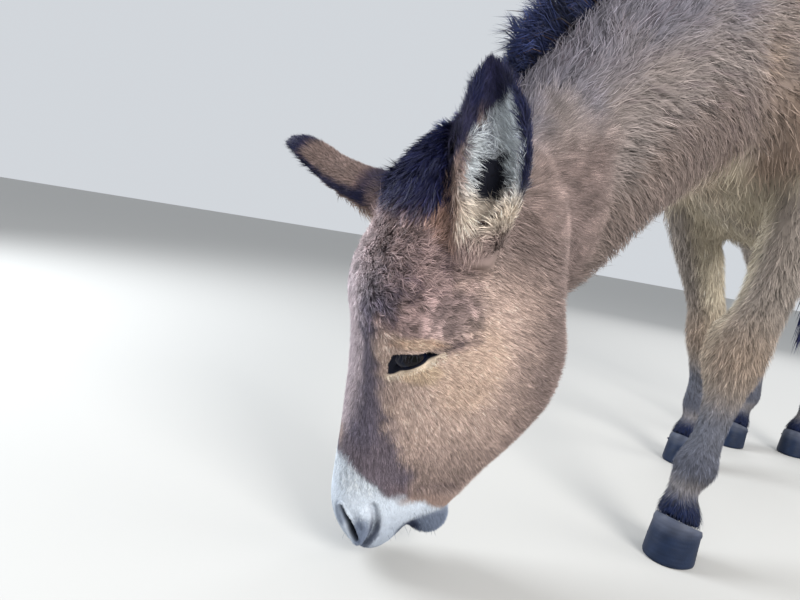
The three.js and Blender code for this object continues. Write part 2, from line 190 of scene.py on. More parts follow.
# %% Landmarks of the coat
# place (down, depth, left), way (down, depth, left), length in mm, stand, curl
HEAD_COAT = [
    # forehead and poll
    [(-20, 40, 0), (-0.4, -0.6, -0.4), 30, 0.50, 0.35],
    [(20, 12, 0), (0.1, -0.8, -0.4), 26, 0.46, 0.5],
    [(20, 30, 40), (-0.1, -0.6, 0.1), 26, 0.46, 0.45],
    [(70, -2, 0), (-0.3, -0.3, 0.6), 19, 0.42, 1.0],
    [(75, 5, 40), (-0.6, 0.2, 0.7), 19, 0.42, 1.0],
    [(115, -10, 20), (0.1, 0.0, 1.0), 15, 0.36, 1.0],
    [(115, 10, 62), (0.1, 0.8, 0.5), 17, 0.40, 1.0],
    [(120, 35, 86), (0.0, 0.9, 0.3), 16, 0.38, 0.9],
    [(150, -13, 0), (0.9, 0.0, 0.3), 11, 0.30, 0.5],
    [(155, 5, 70), (0.4, 0.8, 0.3), 13, 0.32, 0.6],
    # bridge of the nose
    [(200, -8, 0), (1.0, 0.0, 0.1), 12, 0.28, 0.3],
    [(200, 8, 60), (0.9, 0.3, 0.2), 11, 0.26, 0.3],
    [(260, 0, 0), (1.0, 0.0, 0.1), 11, 0.26, 0.2],
    [(270, 12, 46), (0.95, 0.3, 0.1), 9, 0.22, 0.1],
    [(340, 0, 0), (1.0, 0.0, 0.2), 7, 0.20, 0.1],
    [(345, 20, 42), (0.97, 0.2, 0.1), 8, 0.22, 0.1],
    # round the eye
    [(172, 45, 90), (-0.1, 0.9, 0.1), 7, 0.20, 0.2],
    [(176, 20, 78), (0.2, 0.8, 0.3), 7, 0.22, 0.2],
    [(200, 15, 66), (0.9, 0.3, 0.1), 6, 0.20, 0.1],
    [(226, 40, 82), (0.85, 0.5, 0.0), 6, 0.18, 0.1],
    [(210, 75, 90), (0.35, 0.9, 0.0), 7, 0.18, 0.1],
    [(180, 90, 88), (0.1, 1.0, 0.0), 9, 0.22, 0.2],
    # temple and root of the ear
    [(135, 80, 86), (0.0, 1.0, 0.0), 13, 0.30, 0.4],
    [(95, 75, 84), (-0.2, 1.0, 0.1), 15, 0.32, 0.5],
    [(55, 45, 66), (-0.9, 0.2, 0.3), 16, 0.34, 0.5],
    [(70, 115, 74), (0.2, 1.0, 0.0), 18, 0.32, 0.3],
    [(110, 140, 72), (0.45, 0.9, 0.0), 16, 0.28, 0.2],
    [(60, 165, 62), (0.4, 0.9, 0.0), 22, 0.32, 0.2],
    # cheek
    [(160, 140, 76), (0.35, 0.95, 0.0), 11, 0.24, 0.1],
    [(230, 110, 76), (0.60, 0.80, 0.0), 9, 0.20, 0.0],
    [(230, 180, 68), (0.50, 0.87, 0.0), 10, 0.22, 0.0],
    [(160, 210, 64), (0.30, 0.95, -0.1), 14, 0.26, 0.1],
    [(300, 60, 60), (0.85, 0.5, 0.0), 8, 0.20, 0.0],
    [(310, 130, 60), (0.75, 0.65, 0.0), 9, 0.20, 0.0],
    [(300, 190, 55), (0.55, 0.83, -0.1), 12, 0.26, 0.1],
    [(370, 70, 48), (0.95, 0.25, 0.0), 8, 0.22, 0.0],
    [(360, 130, 44), (0.85, 0.5, -0.1), 11, 0.28, 0.1],
    [(385, 160, 30), (0.7, 0.7, -0.3), 13, 0.34, 0.2],
    # jaw and throat
    [(200, 250, 30), (-0.2, 0.9, -0.3), 17, 0.32, 0.2],
    [(260, 240, 40), (0.1, 0.95, -0.3), 14, 0.30, 0.2],
    [(300, 225, 0), (-0.3, 0.95, 0.0), 14, 0.30, 0.2],
    [(120, 240, 20), (-0.3, 0.9, 0.0), 22, 0.32, 0.2],
    # muzzle, lips and chin
    [(400, 0, 0), (1.0, 0.1, 0.1), 4, 0.20, 0.0],
    [(405, 25, 40), (1.0, 0.1, 0.1), 4, 0.20, 0.0],
    [(410, 75, 45), (0.95, 0.2, 0.0), 5, 0.22, 0.0],
    [(450, 10, 20), (1.0, 0.2, 0.2), 2.5, 0.18, 0.0],
    [(450, 65, 42), (1.0, 0.0, 0.0), 3.5, 0.24, 0.0],
    [(485, 45, 15), (0.8, 0.6, 0.0), 2.5, 0.20, 0.0],
    [(450, 126, 30), (0.9, 0.4, 0.0), 7, 0.36, 0.2],
    [(455, 125, 0), (0.7, 0.7, 0.0), 9, 0.40, 0.2],
    [(415, 140, 30), (0.85, 0.5, 0.0), 8, 0.32, 0.1],
]

# place in mm from the midline, and the way, along X (outwards), Y (to the tail) and Z
BODY_COAT = [
    # crest, fanning up to the mane from behind the ear
    [(60, -745, 590), (0.0, 0.55, 0.85), 24, 0.32, 0.3],
    [(45, -690, 610), (-0.1, 0.25, 0.95), 30, 0.34, 0.6],
    [(50, -600, 690), (-0.2, 0.15, 0.95), 34, 0.36, 0.7],
    [(45, -480, 790), (-0.3, 0.25, 0.9), 36, 0.36, 0.6],
    [(45, -330, 900), (-0.3, 0.4, 0.85), 34, 0.34, 0.5],
    # parting
    [(80, -705, 520), (0.0, 0.75, 0.60), 28, 0.30, 0.2],
    [(88, -600, 620), (0.0, 0.75, 0.60), 32, 0.30, 0.3],
    [(92, -480, 720), (0.0, 0.80, 0.50), 32, 0.30, 0.3],
    [(95, -340, 830), (0.0, 0.90, 0.30), 30, 0.28, 0.3],
    # side of the neck
    [(86, -650, 480), (0.0, 1.0, 0.10), 30, 0.28, 0.1],
    [(100, -520, 600), (0.0, 1.0, 0.02), 32, 0.28, 0.2],
    [(105, -390, 700), (0.0, 1.0, 0.0), 32, 0.28, 0.3],
    [(110, -260, 780), (0.0, 1.0, -0.05), 30, 0.28, 0.3],
    # lower neck and throat
    [(70, -610, 410), (0.0, 0.85, -0.40), 30, 0.28, 0.1],
    [(80, -500, 480), (0.0, 0.80, -0.50), 32, 0.28, 0.2],
    [(85, -380, 560), (0.0, 0.78, -0.60), 32, 0.28, 0.2],
    [(100, -270, 650), (0.0, 0.85, -0.45), 32, 0.28, 0.2],
    [(0, -560, 350), (0.0, 0.75, -0.60), 32, 0.32, 0.2],
    [(0, -430, 420), (0.0, 0.75, -0.60), 34, 0.32, 0.2],
    [(0, -330, 510), (0.0, 0.65, -0.75), 36, 0.34, 0.3],
    # chest and brisket
    [(0, -270, 600), (0.2, 0.0, -1.0), 42, 0.38, 0.3],
    [(60, -220, 580), (0.2, 0.2, -0.95), 42, 0.38, 0.3],
    [(0, -200, 530), (0.0, 0.4, -0.9), 40, 0.36, 0.3],
    [(60, -90, 530), (0.1, 0.4, -0.9), 38, 0.34, 0.3],
    # shoulder, back and flank
    [(130, -200, 700), (0.0, 0.95, -0.30), 30, 0.28, 0.3],
    [(130, -120, 860), (0.0, 0.95, -0.25), 28, 0.26, 0.3],
    [(40, -100, 990), (0.2, 0.95, -0.20), 28, 0.26, 0.2],
    [(160, -40, 700), (0.1, 0.80, -0.60), 30, 0.28, 0.3],
    [(0, 150, 1050), (0.1, 1.0, 0.0), 26, 0.24, 0.1],
    [(180, 100, 850), (0.0, 0.90, -0.45), 30, 0.26, 0.3],
    [(210, 300, 800), (0.0, 0.92, -0.40), 32, 0.26, 0.3],
    [(120, 150, 560), (0.0, 0.90, -0.40), 38, 0.30, 0.4],
    [(0, 300, 560), (0.0, 1.0, -0.10), 40, 0.32, 0.4],
    [(150, 450, 620), (0.0, 0.9, -0.40), 38, 0.30, 0.4],
    # croup and thighs
    [(0, 560, 1070), (0.1, 1.0, -0.1), 26, 0.24, 0.1],
    [(180, 560, 880), (0.0, 0.8, -0.6), 28, 0.26, 0.2],
    [(150, 680, 780), (0.0, 0.55, -0.85), 28, 0.26, 0.2],
    [(60, 780, 900), (0.0, 0.4, -0.9), 26, 0.26, 0.2],
    [(-60, 780, 800), (0.0, 0.3, -0.95), 28, 0.28, 0.2],
    [(-120, 480, 640), (0.0, 0.3, -0.95), 30, 0.28, 0.3],
]

# height of the leg, way, length in mm, stand, curl
LEG_COAT = [
    [620, (0.0, 0.15, -1.0), 28, 0.30, 0.3],
    [520, (0.0, 0.12, -1.0), 24, 0.30, 0.3],
    [440, (0.0, 0.10, -1.0), 20, 0.30, 0.2],
    [370, (0.0, 0.05, -1.0), 18, 0.34, 0.2],
    [310, (0.0, 0.05, -1.0), 19, 0.42, 0.3],
    [270, (0.0, 0.05, -1.0), 14, 0.34, 0.2],
    [200, (0.0, 0.05, -1.0), 9, 0.24, 0.1],
    [150, (0.0, 0.10, -1.0), 10, 0.26, 0.1],
    [110, (0.0, 0.10, -1.0), 11, 0.28, 0.1],
    [75, (0.0, 0.00, -1.0), 15, 0.30, 0.0],
]

# %% The landmarks in the scene's frame
MIDLINE_Y = [-0.282, -0.031, 0.089, 0.219, 0.349, 0.469, 0.579, 0.674, 0.741]
MIDLINE_X = [0.0428, 0.0408, 0.0328, 0.0188, 0.0008, -0.0152, -0.0272, -0.0372, -0.0432]
LEGS = ("foreleg_left", "foreleg_right", "hindleg_left", "hindleg_right")


def midline(y):
    """Where the backbone runs, for a body that bends a little to its right."""
    return np.interp(y, MIDLINE_Y, MIDLINE_X)


def leg_axis(node, height):
    """The middle of a leg at a height, from its own solid."""
    points = np.array([v.co for v in NODES[node].data.vertices])
    low, high = points[:, 2].min(), points[:, 2].max()
    near = np.abs(points[:, 2] - np.clip(height, low + 0.01, high - 0.01)) < 0.03
    x, y = points[near][:, :2].mean(0)
    return np.array([x, y, height])


def landmarks():
    """Place, way, length, stand and curl of every landmark, both sides of the animal."""
    rows = []
    for (down, depth, left), (a, b, c), length, stand, curl in HEAD_COAT:
        for hand in (1, -1) if left or c else (1,):
            way = np.array([hand * c, b, -a]) @ HEAD.T
            rows.append((head_point(down, depth, hand * left), way, length, stand, curl))
    for (x, y, z), (a, b, c), length, stand, curl in BODY_COAT:
        for hand in (1, -1):
            place = np.array([midline(y * MM) + hand * x * MM, y * MM, z * MM])
            rows.append((place, np.array([hand * a, b, c]), length, stand, curl))
    for height, way, length, stand, curl in LEG_COAT:
        for leg in LEGS:
            rows.append((leg_axis(leg, height * MM), np.array(way), length, stand, curl))
    return rows


LANDMARKS = landmarks()
MARK_AT = np.array([row[0] for row in LANDMARKS])
MARK_WAY = np.array([row[1] / np.linalg.norm(row[1]) for row in LANDMARKS])
MARK_SIZES = np.array([row[2:] for row in LANDMARKS]) * (MM, 1, 1)
MARK_REACH = 0.012
CHUNK = 20000


def lie_of_coat(points):
    """The way, length, stand and curl of the hair at each point, blended from landmarks."""
    out = np.empty((len(points), 6))
    table = np.hstack([MARK_WAY, MARK_SIZES])
    for start in range(0, len(points), CHUNK):
        part = points[start:start + CHUNK]
        gap = ((part ** 2).sum(1)[:, None] + (MARK_AT ** 2).sum(1) - 2 * part @ MARK_AT.T)
        pull = 1 / (np.maximum(gap, 0) + MARK_REACH ** 2) ** 2
        out[start:start + CHUNK] = pull @ table / pull.sum(1, keepdims=True)
    return out[:, :3], out[:, 3], out[:, 4], out[:, 5]


print(len(LANDMARKS), "landmarks guide the coat")

# %% [markdown]
# ## Lines of the face
# Some forms of the face are finer than the solids: the groove and the lobe of the nostril,
# the crest under the eye, the hollow of the temple, the fold behind the eye. Each is a
# line on either side of the head. They are pressed into the skin further down, and the
# markings use some of them too, mostly to paint shade into the folds, creases and groove.


# %% Lines of the face
def path_gap(points, path):
    """Distance in mm of each point from a line of places on either side of the head."""
    down, depth, left = head_coords(points)
    places = np.stack([down, depth, np.abs(left)], 1)
    path = np.array(path, float)
    best = np.full(len(places), 1e9)
    for start, end in zip(path[:-1], path[1:]):
        along = end - start
        t = np.clip((places - start) @ along / (along @ along), 0, 1)
        best = np.minimum(best, np.linalg.norm(places - start - t[:, None] * along, axis=1))
    return best


# line, radius, rise at the middle (all in mm)
FORMS = {
    "facial crest": ([(232, 70, 88), (262, 72, 80), (300, 72, 68), (330, 72, 60)], 16, 2.6),
    "brow": ([(190, 8, 74), (172, 28, 88), (166, 55, 93), (174, 82, 92)], 15, 2.2),
    "temple": ([(138, 62, 88), (132, 74, 88)], 26, -4.0),
    "tear trough": ([(232, 24, 76), (250, 26, 68)], 9, -1.6),
    "lid fold": ([(191, 68, 93), (183, 86, 91), (176, 112, 85)], 4.5, -3.0),
    "upper line": ([(189, 18, 81), (183, 34, 88), (180, 52, 92), (184, 70, 93)], 3.2, -1.4),
    "hollow of the nose": ([(300, 40, 56), (360, 52, 52)], 14, -1.8),
    "nostril groove": ([(412, 40, 46), (422, 45, 47), (436, 47, 47), (451, 46, 46), (464, 41, 43),
                        (478, 36, 34)], 4.2, -8.0),
    "nostril lobe": ([(422, 29, 42), (440, 34, 45), (456, 35, 44), (471, 31, 38)], 6.0, 4.2),
    "nostril fold": ([(405, 22, 43), (398, 30, 45)], 6, -1.0),
    "mouth corner": ([(437, 103, 42), (415, 108, 43)], 5, -2.6),
    "lip crease": ([(432, 66, 46), (446, 70, 44)], 6, -0.8),
    "jaw crease": ([(385, 92, 47), (381, 112, 46), (380, 136, 43)], 5, -2.0),
}


print(len(FORMS), "forms of the face")

# %% [markdown]
# ## The markings
# Skin and coat wear the same colours, so both ask the same function. It mixes a few named
# shades by soft masks: the pale muzzle with its edge across the nose, the dark sides of
# the nose bridge, the warm cheek, the pale rings round the eyes, grey-brown neck and legs,
# cream belly and inner legs, dark ears' rims, and the stripe along the back with its cross
# over the shoulders, which donkeys of this colour have.


# %% Colours
def srgb(code):
    """Linear red, green and blue of a web colour."""
    values = np.array([int(code[i:i + 2], 16) for i in (0, 2, 4)]) / 255
    return np.where(values > 0.04045, ((values + 0.055) / 1.055) ** 2.4, values / 12.92)


# the deep blue in dark, mane, black, coronet and horn is painted blue sky light; the hair and
# horn under it are near black
SHADE = {
    "cheek": srgb("c8b0a4"),
    "jaw": srgb("7c6c68"),
    "forehead": srgb("a18a87"),
    "bridge": srgb("565163"),
    "bridge_front": srgb("b3a5aa"),
    "white": srgb("d2dae4"),
    "nose": srgb("656f83"),
    "cream": srgb("cfc3ac"),
    "ring": srgb("cdb49b"),
    "neck": srgb("908581"),
    "back": srgb("a08c7d"),
    "leg": srgb("8e847c"),
    "knee": srgb("9c8877"),
    "shank": srgb("5f6370"),
    "coronet": srgb("0c1838"),
    "black": srgb("0a0e1e"),
    "fleece": srgb("c0c6ca"),
    "dark": srgb("0f1439"),
    "tan": srgb("cbb09a"),
    "rust": srgb("a27f6d"),
    "curl": srgb("57484f"),
    "crest": srgb("6d6d7c"),
    "under": srgb("7b6b64"),
    "rim": srgb("f0dcc6"),
    "horn": srgb("142036"),
    "mane": srgb("222a4c"),
}
WHITE_EDGE_DEPTH = [0, 25, 43, 72, 105, 128, 150]
WHITE_EDGE_DOWN = [357, 370, 387, 399, 402, 411, 425]


def mix(colours, shade, mask):
    return colours + (SHADE[shade] - colours) * np.clip(mask, 0, 1)[:, None]


def near(coords, centre, radii):
    """1 in the middle of an ellipsoid of the head, falling to 0 at its edge."""
    down, depth, left = coords
    away = sum(((a - c) / r) ** 2 for a, c, r in zip((down, depth, np.abs(left)), centre, radii))
    return 1 - smoothstep(0.25, 1.0, away)


def head_colours(points):
    """The markings of the face."""
    coords = head_coords(points)
    down, depth, left = coords
    side = np.abs(left)
    wander = waves(points, 0.03, 11)
    colours = np.tile(SHADE["cheek"], (len(points), 1))
    colours = mix(colours, "tan", near(coords, (215, 115, 80), (75, 55, 40)) * 0.45)
    colours = mix(colours, "jaw", smoothstep(135, 220, depth + 8 * wander) * 0.95)
    colours = mix(colours, "jaw", smoothstep(150, 70, down) * smoothstep(50, 110, depth) * 0.9)
    colours = mix(colours, "jaw", smoothstep(270, 370, down) * smoothstep(45, 90, depth) * 0.7)
    top = smoothstep(192, 164, down + 7 * wander) * smoothstep(112, 60, depth + 8 * wander)
    colours = mix(colours, "forehead", top)
    by_brow = near(coords, (170, 35, 90), (26, 34, 30))
    patch = smoothstep(-0.1, 1.0, waves(points, 0.016, 17) + 0.5 * by_brow)
    patch *= smoothstep(20, 34, side) * smoothstep(98, 84, side + 0.25 * depth - 4)
    colours = mix(colours, "curl", top * patch * 0.85)
    # painted light: the front of the forehead is lighter, as fuzz at the edge of the face lit
    # from behind by the sky
    colours = mix(colours, "bridge_front", near(coords, (100, -4, 0), (62, 40, 36)) * 0.4)
    colours = mix(colours, "jaw", near(coords, (150, 84, 88), (36, 44, 34)) * 0.6)
    colours = mix(colours, "curl", near(coords, (150, 80, 88), (30, 40, 34)) * 0.3)
    colours = mix(colours, "rust", near(coords, (52, 54, 72), (44, 26, 26)) * 0.7)
    outer = np.interp(down, [120, 170, 200, 240, 290, 340, 380], [92, 70, 62, 60, 58, 64, 70])
    inner = np.interp(down, [120, 200, 280, 320, 350], [46, 42, 34, 18, 0])
    wide = np.interp(down, [200, 290, 330, 370], [22, 38, 62, 78])
    band = smoothstep(outer + 7, outer - 9, side + 5 * wander)
    band = band * smoothstep(inner - 12, inner + 10, side + 4 * wander)
    band = band * smoothstep(wide + 14, wide - 12, depth + 5 * wander) * smoothstep(95, 160, down)
    front = smoothstep(34, 22, depth) * smoothstep(60, 46, side) * smoothstep(90, 150, down)
    colours = mix(colours, "bridge_front", front * smoothstep(345, 315, down + 6 * wander))
    colours = mix(colours, "bridge", band * 0.85)
    colours = mix(colours, "ring", near(coords, (216, 48, 84), (22, 36, 24)) * 0.95)
    colours = mix(colours, "tan", near(coords, (184, 46, 90), (10, 38, 22)) * 0.8)
    edge = np.interp(depth, WHITE_EDGE_DEPTH, WHITE_EDGE_DOWN) + 4 * wander
    above_edge = smoothstep(-26, -3, down - edge)
    colours = mix(colours, "rust", above_edge * smoothstep(40, 80, depth) * 0.2)
    colours = mix(colours, "white", smoothstep(-4, 7, down - edge))
    colours = mix(colours, "nose", near(coords, (448, 30, 42), (30, 15, 18)) * 0.95)
    colours = mix(colours, "nose", near(coords, (434, 4, 28), (22, 14, 16)) * 0.7)
    # painted shade in the groove behind the nostril's lobe, deepest at its lower end
    groove = path_gap(points, FORMS["nostril groove"][0])
    deep = smoothstep(418, 444, down)
    colours = mix(colours, "bridge", smoothstep(9, 4, groove) * (0.25 + 0.5 * deep))
    colours = mix(colours, "black", smoothstep(9, 5, groove) * deep * 0.9)
    # painted shade in the fold behind the eye, near black close to the eye
    fold = path_gap(points, FORMS["lid fold"][0])
    colours = mix(colours, "curl", smoothstep(11, 3, fold) * 0.55)
    colours = mix(colours, "black", smoothstep(4.5, 1.8, fold) * smoothstep(118, 92, depth) * 0.9)
    lash_line = path_gap(points, FORMS["upper line"][0])
    colours = mix(colours, "rust", smoothstep(3.5, 1.2, lash_line) * 0.5)
    # painted shade along the crease of the jaw
    crease = path_gap(points, FORMS["jaw crease"][0])
    colours = mix(colours, "jaw", smoothstep(18, 6, crease) * 0.5)
    colours = mix(colours, "curl", smoothstep(5, 1.5, crease) * 0.9)
    # painted shade along the line of the mouth's corner
    line = path_gap(points, FORMS["mouth corner"][0])
    colours = mix(colours, "bridge", smoothstep(4, 1, line) * 0.7)
    # painted shade: the lower lips and the chin are greyer and darker, as the underside of the
    # muzzle
    colours = mix(colours, "nose", smoothstep(408, 455, down) * 0.50)
    colours = mix(colours, "nose", smoothstep(468, 492, down) * 0.9)
    colours = mix(colours, "nose", near(coords, (450, 126, 16), (40, 40, 52)) * 0.95)
    # painted shadow: near black in the gap under the upper lip and round the front of the chin
    colours = mix(colours, "coronet", near(coords, (456, 93, 16), (26, 24, 48)) * 0.9)
    return colours


def body_colours(points):
    """The markings of neck, trunk and legs."""
    y, z = points[:, 1], points[:, 2]
    wander = waves(points, 0.12, 12)
    colours = np.tile(SHADE["back"], (len(points), 1))
    colours = mix(colours, "neck", smoothstep(-0.12, -0.32, y + 0.04 * wander))
    over = z - np.interp(y, [-0.745, -0.60, -0.48, -0.33, -0.18], [0.58, 0.69, 0.79, 0.90, 0.98])
    fore = smoothstep(-0.12, -0.32, y)
    colours = mix(colours, "crest", smoothstep(-0.13, -0.03, over + 0.02 * wander) * fore * 0.75)
    # painted shade: the lower neck is darker, as the underside of the neck
    colours = mix(colours, "under", smoothstep(-0.15, -0.25, over + 0.02 * wander) * fore * 0.8)
    shadow = smoothstep(0.1, 1.1, waves(points * (1, 0.6, 1), 0.022, 19))
    colours = mix(colours, "curl", shadow * fore * smoothstep(0.56, 0.64, z) * 0.5)
    rise = np.interp(y, [-0.30, -0.20, 0.0, 0.35, 0.6], [0.56, 0.60, 0.60, 0.64, 0.70])
    belly = smoothstep(0.05, -0.04, z - rise + 0.015 * wander) * smoothstep(-0.36, -0.26, y)
    colours = mix(colours, "cream", belly * 0.85)
    low = smoothstep(0.60, 0.50, z)
    colours = mix(colours, "leg", low * smoothstep(-0.36, -0.30, y))
    return colours


def leg_colours(points, colours):
    """Legs: cream inside, tan at the knee, grey below, nearly black at the coronet."""
    x, y, z = points.T
    for leg in LEGS:
        hand = 1 if leg.endswith("left") else -1
        low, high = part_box(leg)
        heights = np.linspace(low[2], high[2], 12)
        axes = np.array([leg_axis(leg, h) for h in heights])
        middle_x = np.interp(z, heights, axes[:, 0])
        middle_y = np.interp(z, heights, axes[:, 1])
        mine = smoothstep(0.125, 0.10, np.hypot(x - middle_x, y - middle_y))
        mine = mine * smoothstep(0.62, 0.56, z)
        inner = smoothstep(0.0, -0.03, hand * (x - middle_x)) * smoothstep(0.22, 0.36, z)
        colours = mix(colours, "leg", mine)
        colours = mix(colours, "cream", mine * inner * 0.75)
        knee = np.exp(-((z - 0.315) / 0.055) ** 2)
        colours = mix(colours, "knee", mine * knee * 0.7)
        colours = mix(colours, "shank", mine * smoothstep(0.27, 0.20, z) * 0.9)
        back = 0.35 + 0.65 * smoothstep(0.0, 0.03, y - middle_y)
        colours = mix(colours, "coronet", mine * back * np.exp(-((z - 0.14) / 0.028) ** 2) * 0.8)
        colours = mix(colours, "leg", mine * np.exp(-((z - 0.112) / 0.014) ** 2) * 0.4)
        colours = mix(colours, "coronet", mine * smoothstep(0.110, 0.082, z))
    return colours


def stripe_colours(points, colours):
    """The dark line down the back and its cross over the shoulders."""
    x, y, z = points.T
    out = np.abs(x - midline(y))
    wander = 0.006 * waves(points, 0.06, 13)
    along = smoothstep(0.022, 0.012, out + wander) * smoothstep(0.86, 0.92, z)
    cross = smoothstep(0.022, 0.012, np.abs(y - 0.02 - 0.15 * out) + wander)
    cross = cross * smoothstep(0.74, 0.84, z)
    colours = mix(colours, "dark", along * smoothstep(-0.12, -0.06, y) * 0.8)
    return mix(colours, "dark", cross * 0.6)


print(len(SHADE), "shades named")

# %% [markdown]
# ## The skin
# The flesh comes as separate solids with flat facets. Copies of them, each a touch larger
# so that the thin cuts close, are melted into a shell by a voxel remesh, which also leaves
# a few loose specks of up to 4 mm, most of them beside the hooves. Smoothing then
# takes the facets off, more on the broad body than on the thin legs and ears, and the
# shell moves inwards by the depth of the coat, so that the tips of the hair end where the
# solids do.

# %% Melt the flesh into a shell
FLESH = ["head", "neck", "trunk", *LEGS, "ear_left", "ear_right", "tail"]
SOFTEN = {"trunk": 1.0, "neck": 0.8, "head": 0.22, "tail": 0.3, "ear": 0.10, "leg": 0.2}
EYE_AT = np.array([202.0, 45.0, 68.0])
EYE_RADIUS = 20.0
VOXEL = 0.0043
GROW = 0.0006
LEAST_INSET = 0.0008
EAR_INSET = 0.0016
TAIL_INSET = 0.004


def add_object(name, mesh):
    piece = bpy.data.objects.new(name, mesh)
    bpy.context.scene.collection.objects.link(piece)
    return piece


def only(piece):
    """Selects one object and makes it the active one."""
    bpy.ops.object.select_all(action="DESELECT")
    piece.select_set(True)
    bpy.context.view_layer.objects.active = piece


def head_matrix(place, radii):
    """A matrix that puts a unit ball into the head, its radii along left, depth and down."""
    turn = np.eye(4)
    turn[:3, :3] = HEAD * (np.array(radii) * MM)
    turn[:3, 3] = head_point(*place)
    return Matrix(turn)


def flesh_mesh():
    """All the flesh in one mesh of loose shells, with balls in the eye sockets."""
    joined = bmesh.new()
    for name in FLESH:
        part = bmesh.new()
        part.from_mesh(NODES[name].data)
        bmesh.ops.remove_doubles(part, verts=part.verts, dist=1e-5)
        part.normal_update()
        for vert in part.verts:
            vert.co += vert.normal * GROW
        mesh = bpy.data.meshes.new("flesh_part")
        part.to_mesh(mesh)
        part.free()
        joined.from_mesh(mesh)
        bpy.data.meshes.remove(mesh)
    for _, hand in SIDES:
        down, depth, left = EYE_AT
        bmesh.ops.create_uvsphere(
            joined, u_segments=24, v_segments=16, radius=1,
            matrix=head_matrix((down, depth, hand * left), (22, 32, 18)))
    mesh = bpy.data.meshes.new("skin")
    joined.to_mesh(mesh)
    joined.free()
    return mesh


skin = add_object("skin", flesh_mesh())
only(skin)
melt = skin.modifiers.new("melt", "REMESH")
melt.mode = "VOXEL"
melt.voxel_size = VOXEL
bpy.ops.object.modifier_apply(modifier=melt.name)
print("melted shell:", len(skin.data.vertices), "points")


# %% Take the facets off
def coords_of(mesh):
    flat = np.empty(len(mesh.vertices) * 3)
    mesh.vertices.foreach_get("co", flat)
    return flat.reshape(-1, 3)


def normals_of(mesh):
    flat = np.empty(len(mesh.vertices) * 3)
    mesh.vertex_normals.foreach_get("vector", flat)
    return flat.reshape(-1, 3)


def set_coords(mesh, points):
    mesh.vertices.foreach_set("co", points.ravel())
    mesh.update()


class Neighbours:
    """Averages values over the neighbours of every point of a mesh."""

    def __init__(self, mesh):
        edges = np.empty(len(mesh.edges) * 2, np.int64)
        mesh.edges.foreach_get("vertices", edges)
        edges = edges.reshape(-1, 2)
        self.count = len(mesh.vertices)
        self.ends = np.concatenate([edges, edges[:, ::-1]])
        self.degree = np.maximum(np.bincount(self.ends[:, 0], minlength=self.count), 1)

    def mean(self, values):
        columns = [
            np.bincount(self.ends[:, 0], values[self.ends[:, 1], k], self.count)
            for k in range(values.shape[1])
        ]
        return np.stack(columns, 1) / self.degree[:, None]


def flesh_tree():
    """A search tree over the flesh solids, and the name of the solid of each face."""
    points, faces, owners = [], [], []
    for name in FLESH:
        mesh = NODES[name].data
        start = len(points)
        points += [v.co.copy() for v in mesh.vertices]
        faces += [[start + i for i in f.vertices] for f in mesh.polygons]
        owners += [name] * len(mesh.polygons)
    return BVHTree.FromPolygons(points, faces), owners


CAD_TREE, CAD_OWNERS = flesh_tree()


def owners_of(points):
    """Which solid of the flesh each point belongs to."""
    found = [CAD_TREE.find_nearest(p)[2] for p in points]
    return np.array([CAD_OWNERS[i] for i in found])


points = coords_of(skin.data)
owners = owners_of(points)
links = Neighbours(skin.data)
soften = np.zeros(len(points))
for name, amount in SOFTEN.items():
    soften[np.char.find(owners, name) >= 0] = amount
for _ in range(12):
    soften = links.mean(soften[:, None])[:, 0]
softened = points.copy()
for _ in range(110):
    softened += 0.55 * soften[:, None] * (links.mean(softened) - softened)
set_coords(skin.data, softened)
normals = normals_of(skin.data)
lost = ((points - softened) * normals).sum(1)[:, None]
for _ in range(60):
    lost = links.mean(lost)
softened += normals * lost
way, length, stand, curl = lie_of_coat(softened)
COAT_SHARE = {"head": 0.85, "neck": 0.6, "trunk": 0.8, "leg": 0.7}
share = np.ones(len(points))
for name, part in COAT_SHARE.items():
    share[np.char.find(owners, name) >= 0] = part
inset = np.maximum(length * stand * share, LEAST_INSET)
is_ear = np.char.find(owners, "ear_") == 0
inset[is_ear] = EAR_INSET
inset[owners == "tail"] = TAIL_INSET
for _ in range(10):
    inset = links.mean(inset[:, None])[:, 0]
set_coords(skin.data, softened - normals * inset[:, None])
print("coat is", round(inset.min() / MM, 1), "to", round(inset.max() / MM, 1), "mm deep")


# %% Thin out the body and fill in the face
def weigh(piece, name, weights):
    """A vertex group with a weight for every point, set in steps of a tenth."""
    group = piece.vertex_groups.new(name=name)
    steps = np.round(weights * 10).astype(int)
    for step in range(1, 11):
        group.add(np.where(steps == step)[0].tolist(), step / 10, "REPLACE")


points = coords_of(skin.data)
down, depth, left = head_coords(points)
keep = np.maximum(smoothstep(-30, 10, down) * smoothstep(300, 250, depth), is_ear)
weigh(skin, "thin", 1 - keep)
only(skin)
thin = skin.modifiers.new("thin", "DECIMATE")
thin.ratio = 0.30
thin.vertex_group = "thin"
thin.vertex_group_factor = 1.0
bpy.ops.object.modifier_apply(modifier=thin.name)
skin.vertex_groups.clear()
print("skin has", len(skin.data.polygons), "faces after thinning")

# %% [markdown]
# ## The face
# A few forms are too fine for the solids: the comma of the nostril with the soft lobe and
# the groove behind it, the facial crest under the eye, the hollow of the temple, the brow.
# The faces there are divided first. Then each form is a line or a spot with a radius, and
# the points near it move in or out along their normals, as a thumb would press clay.


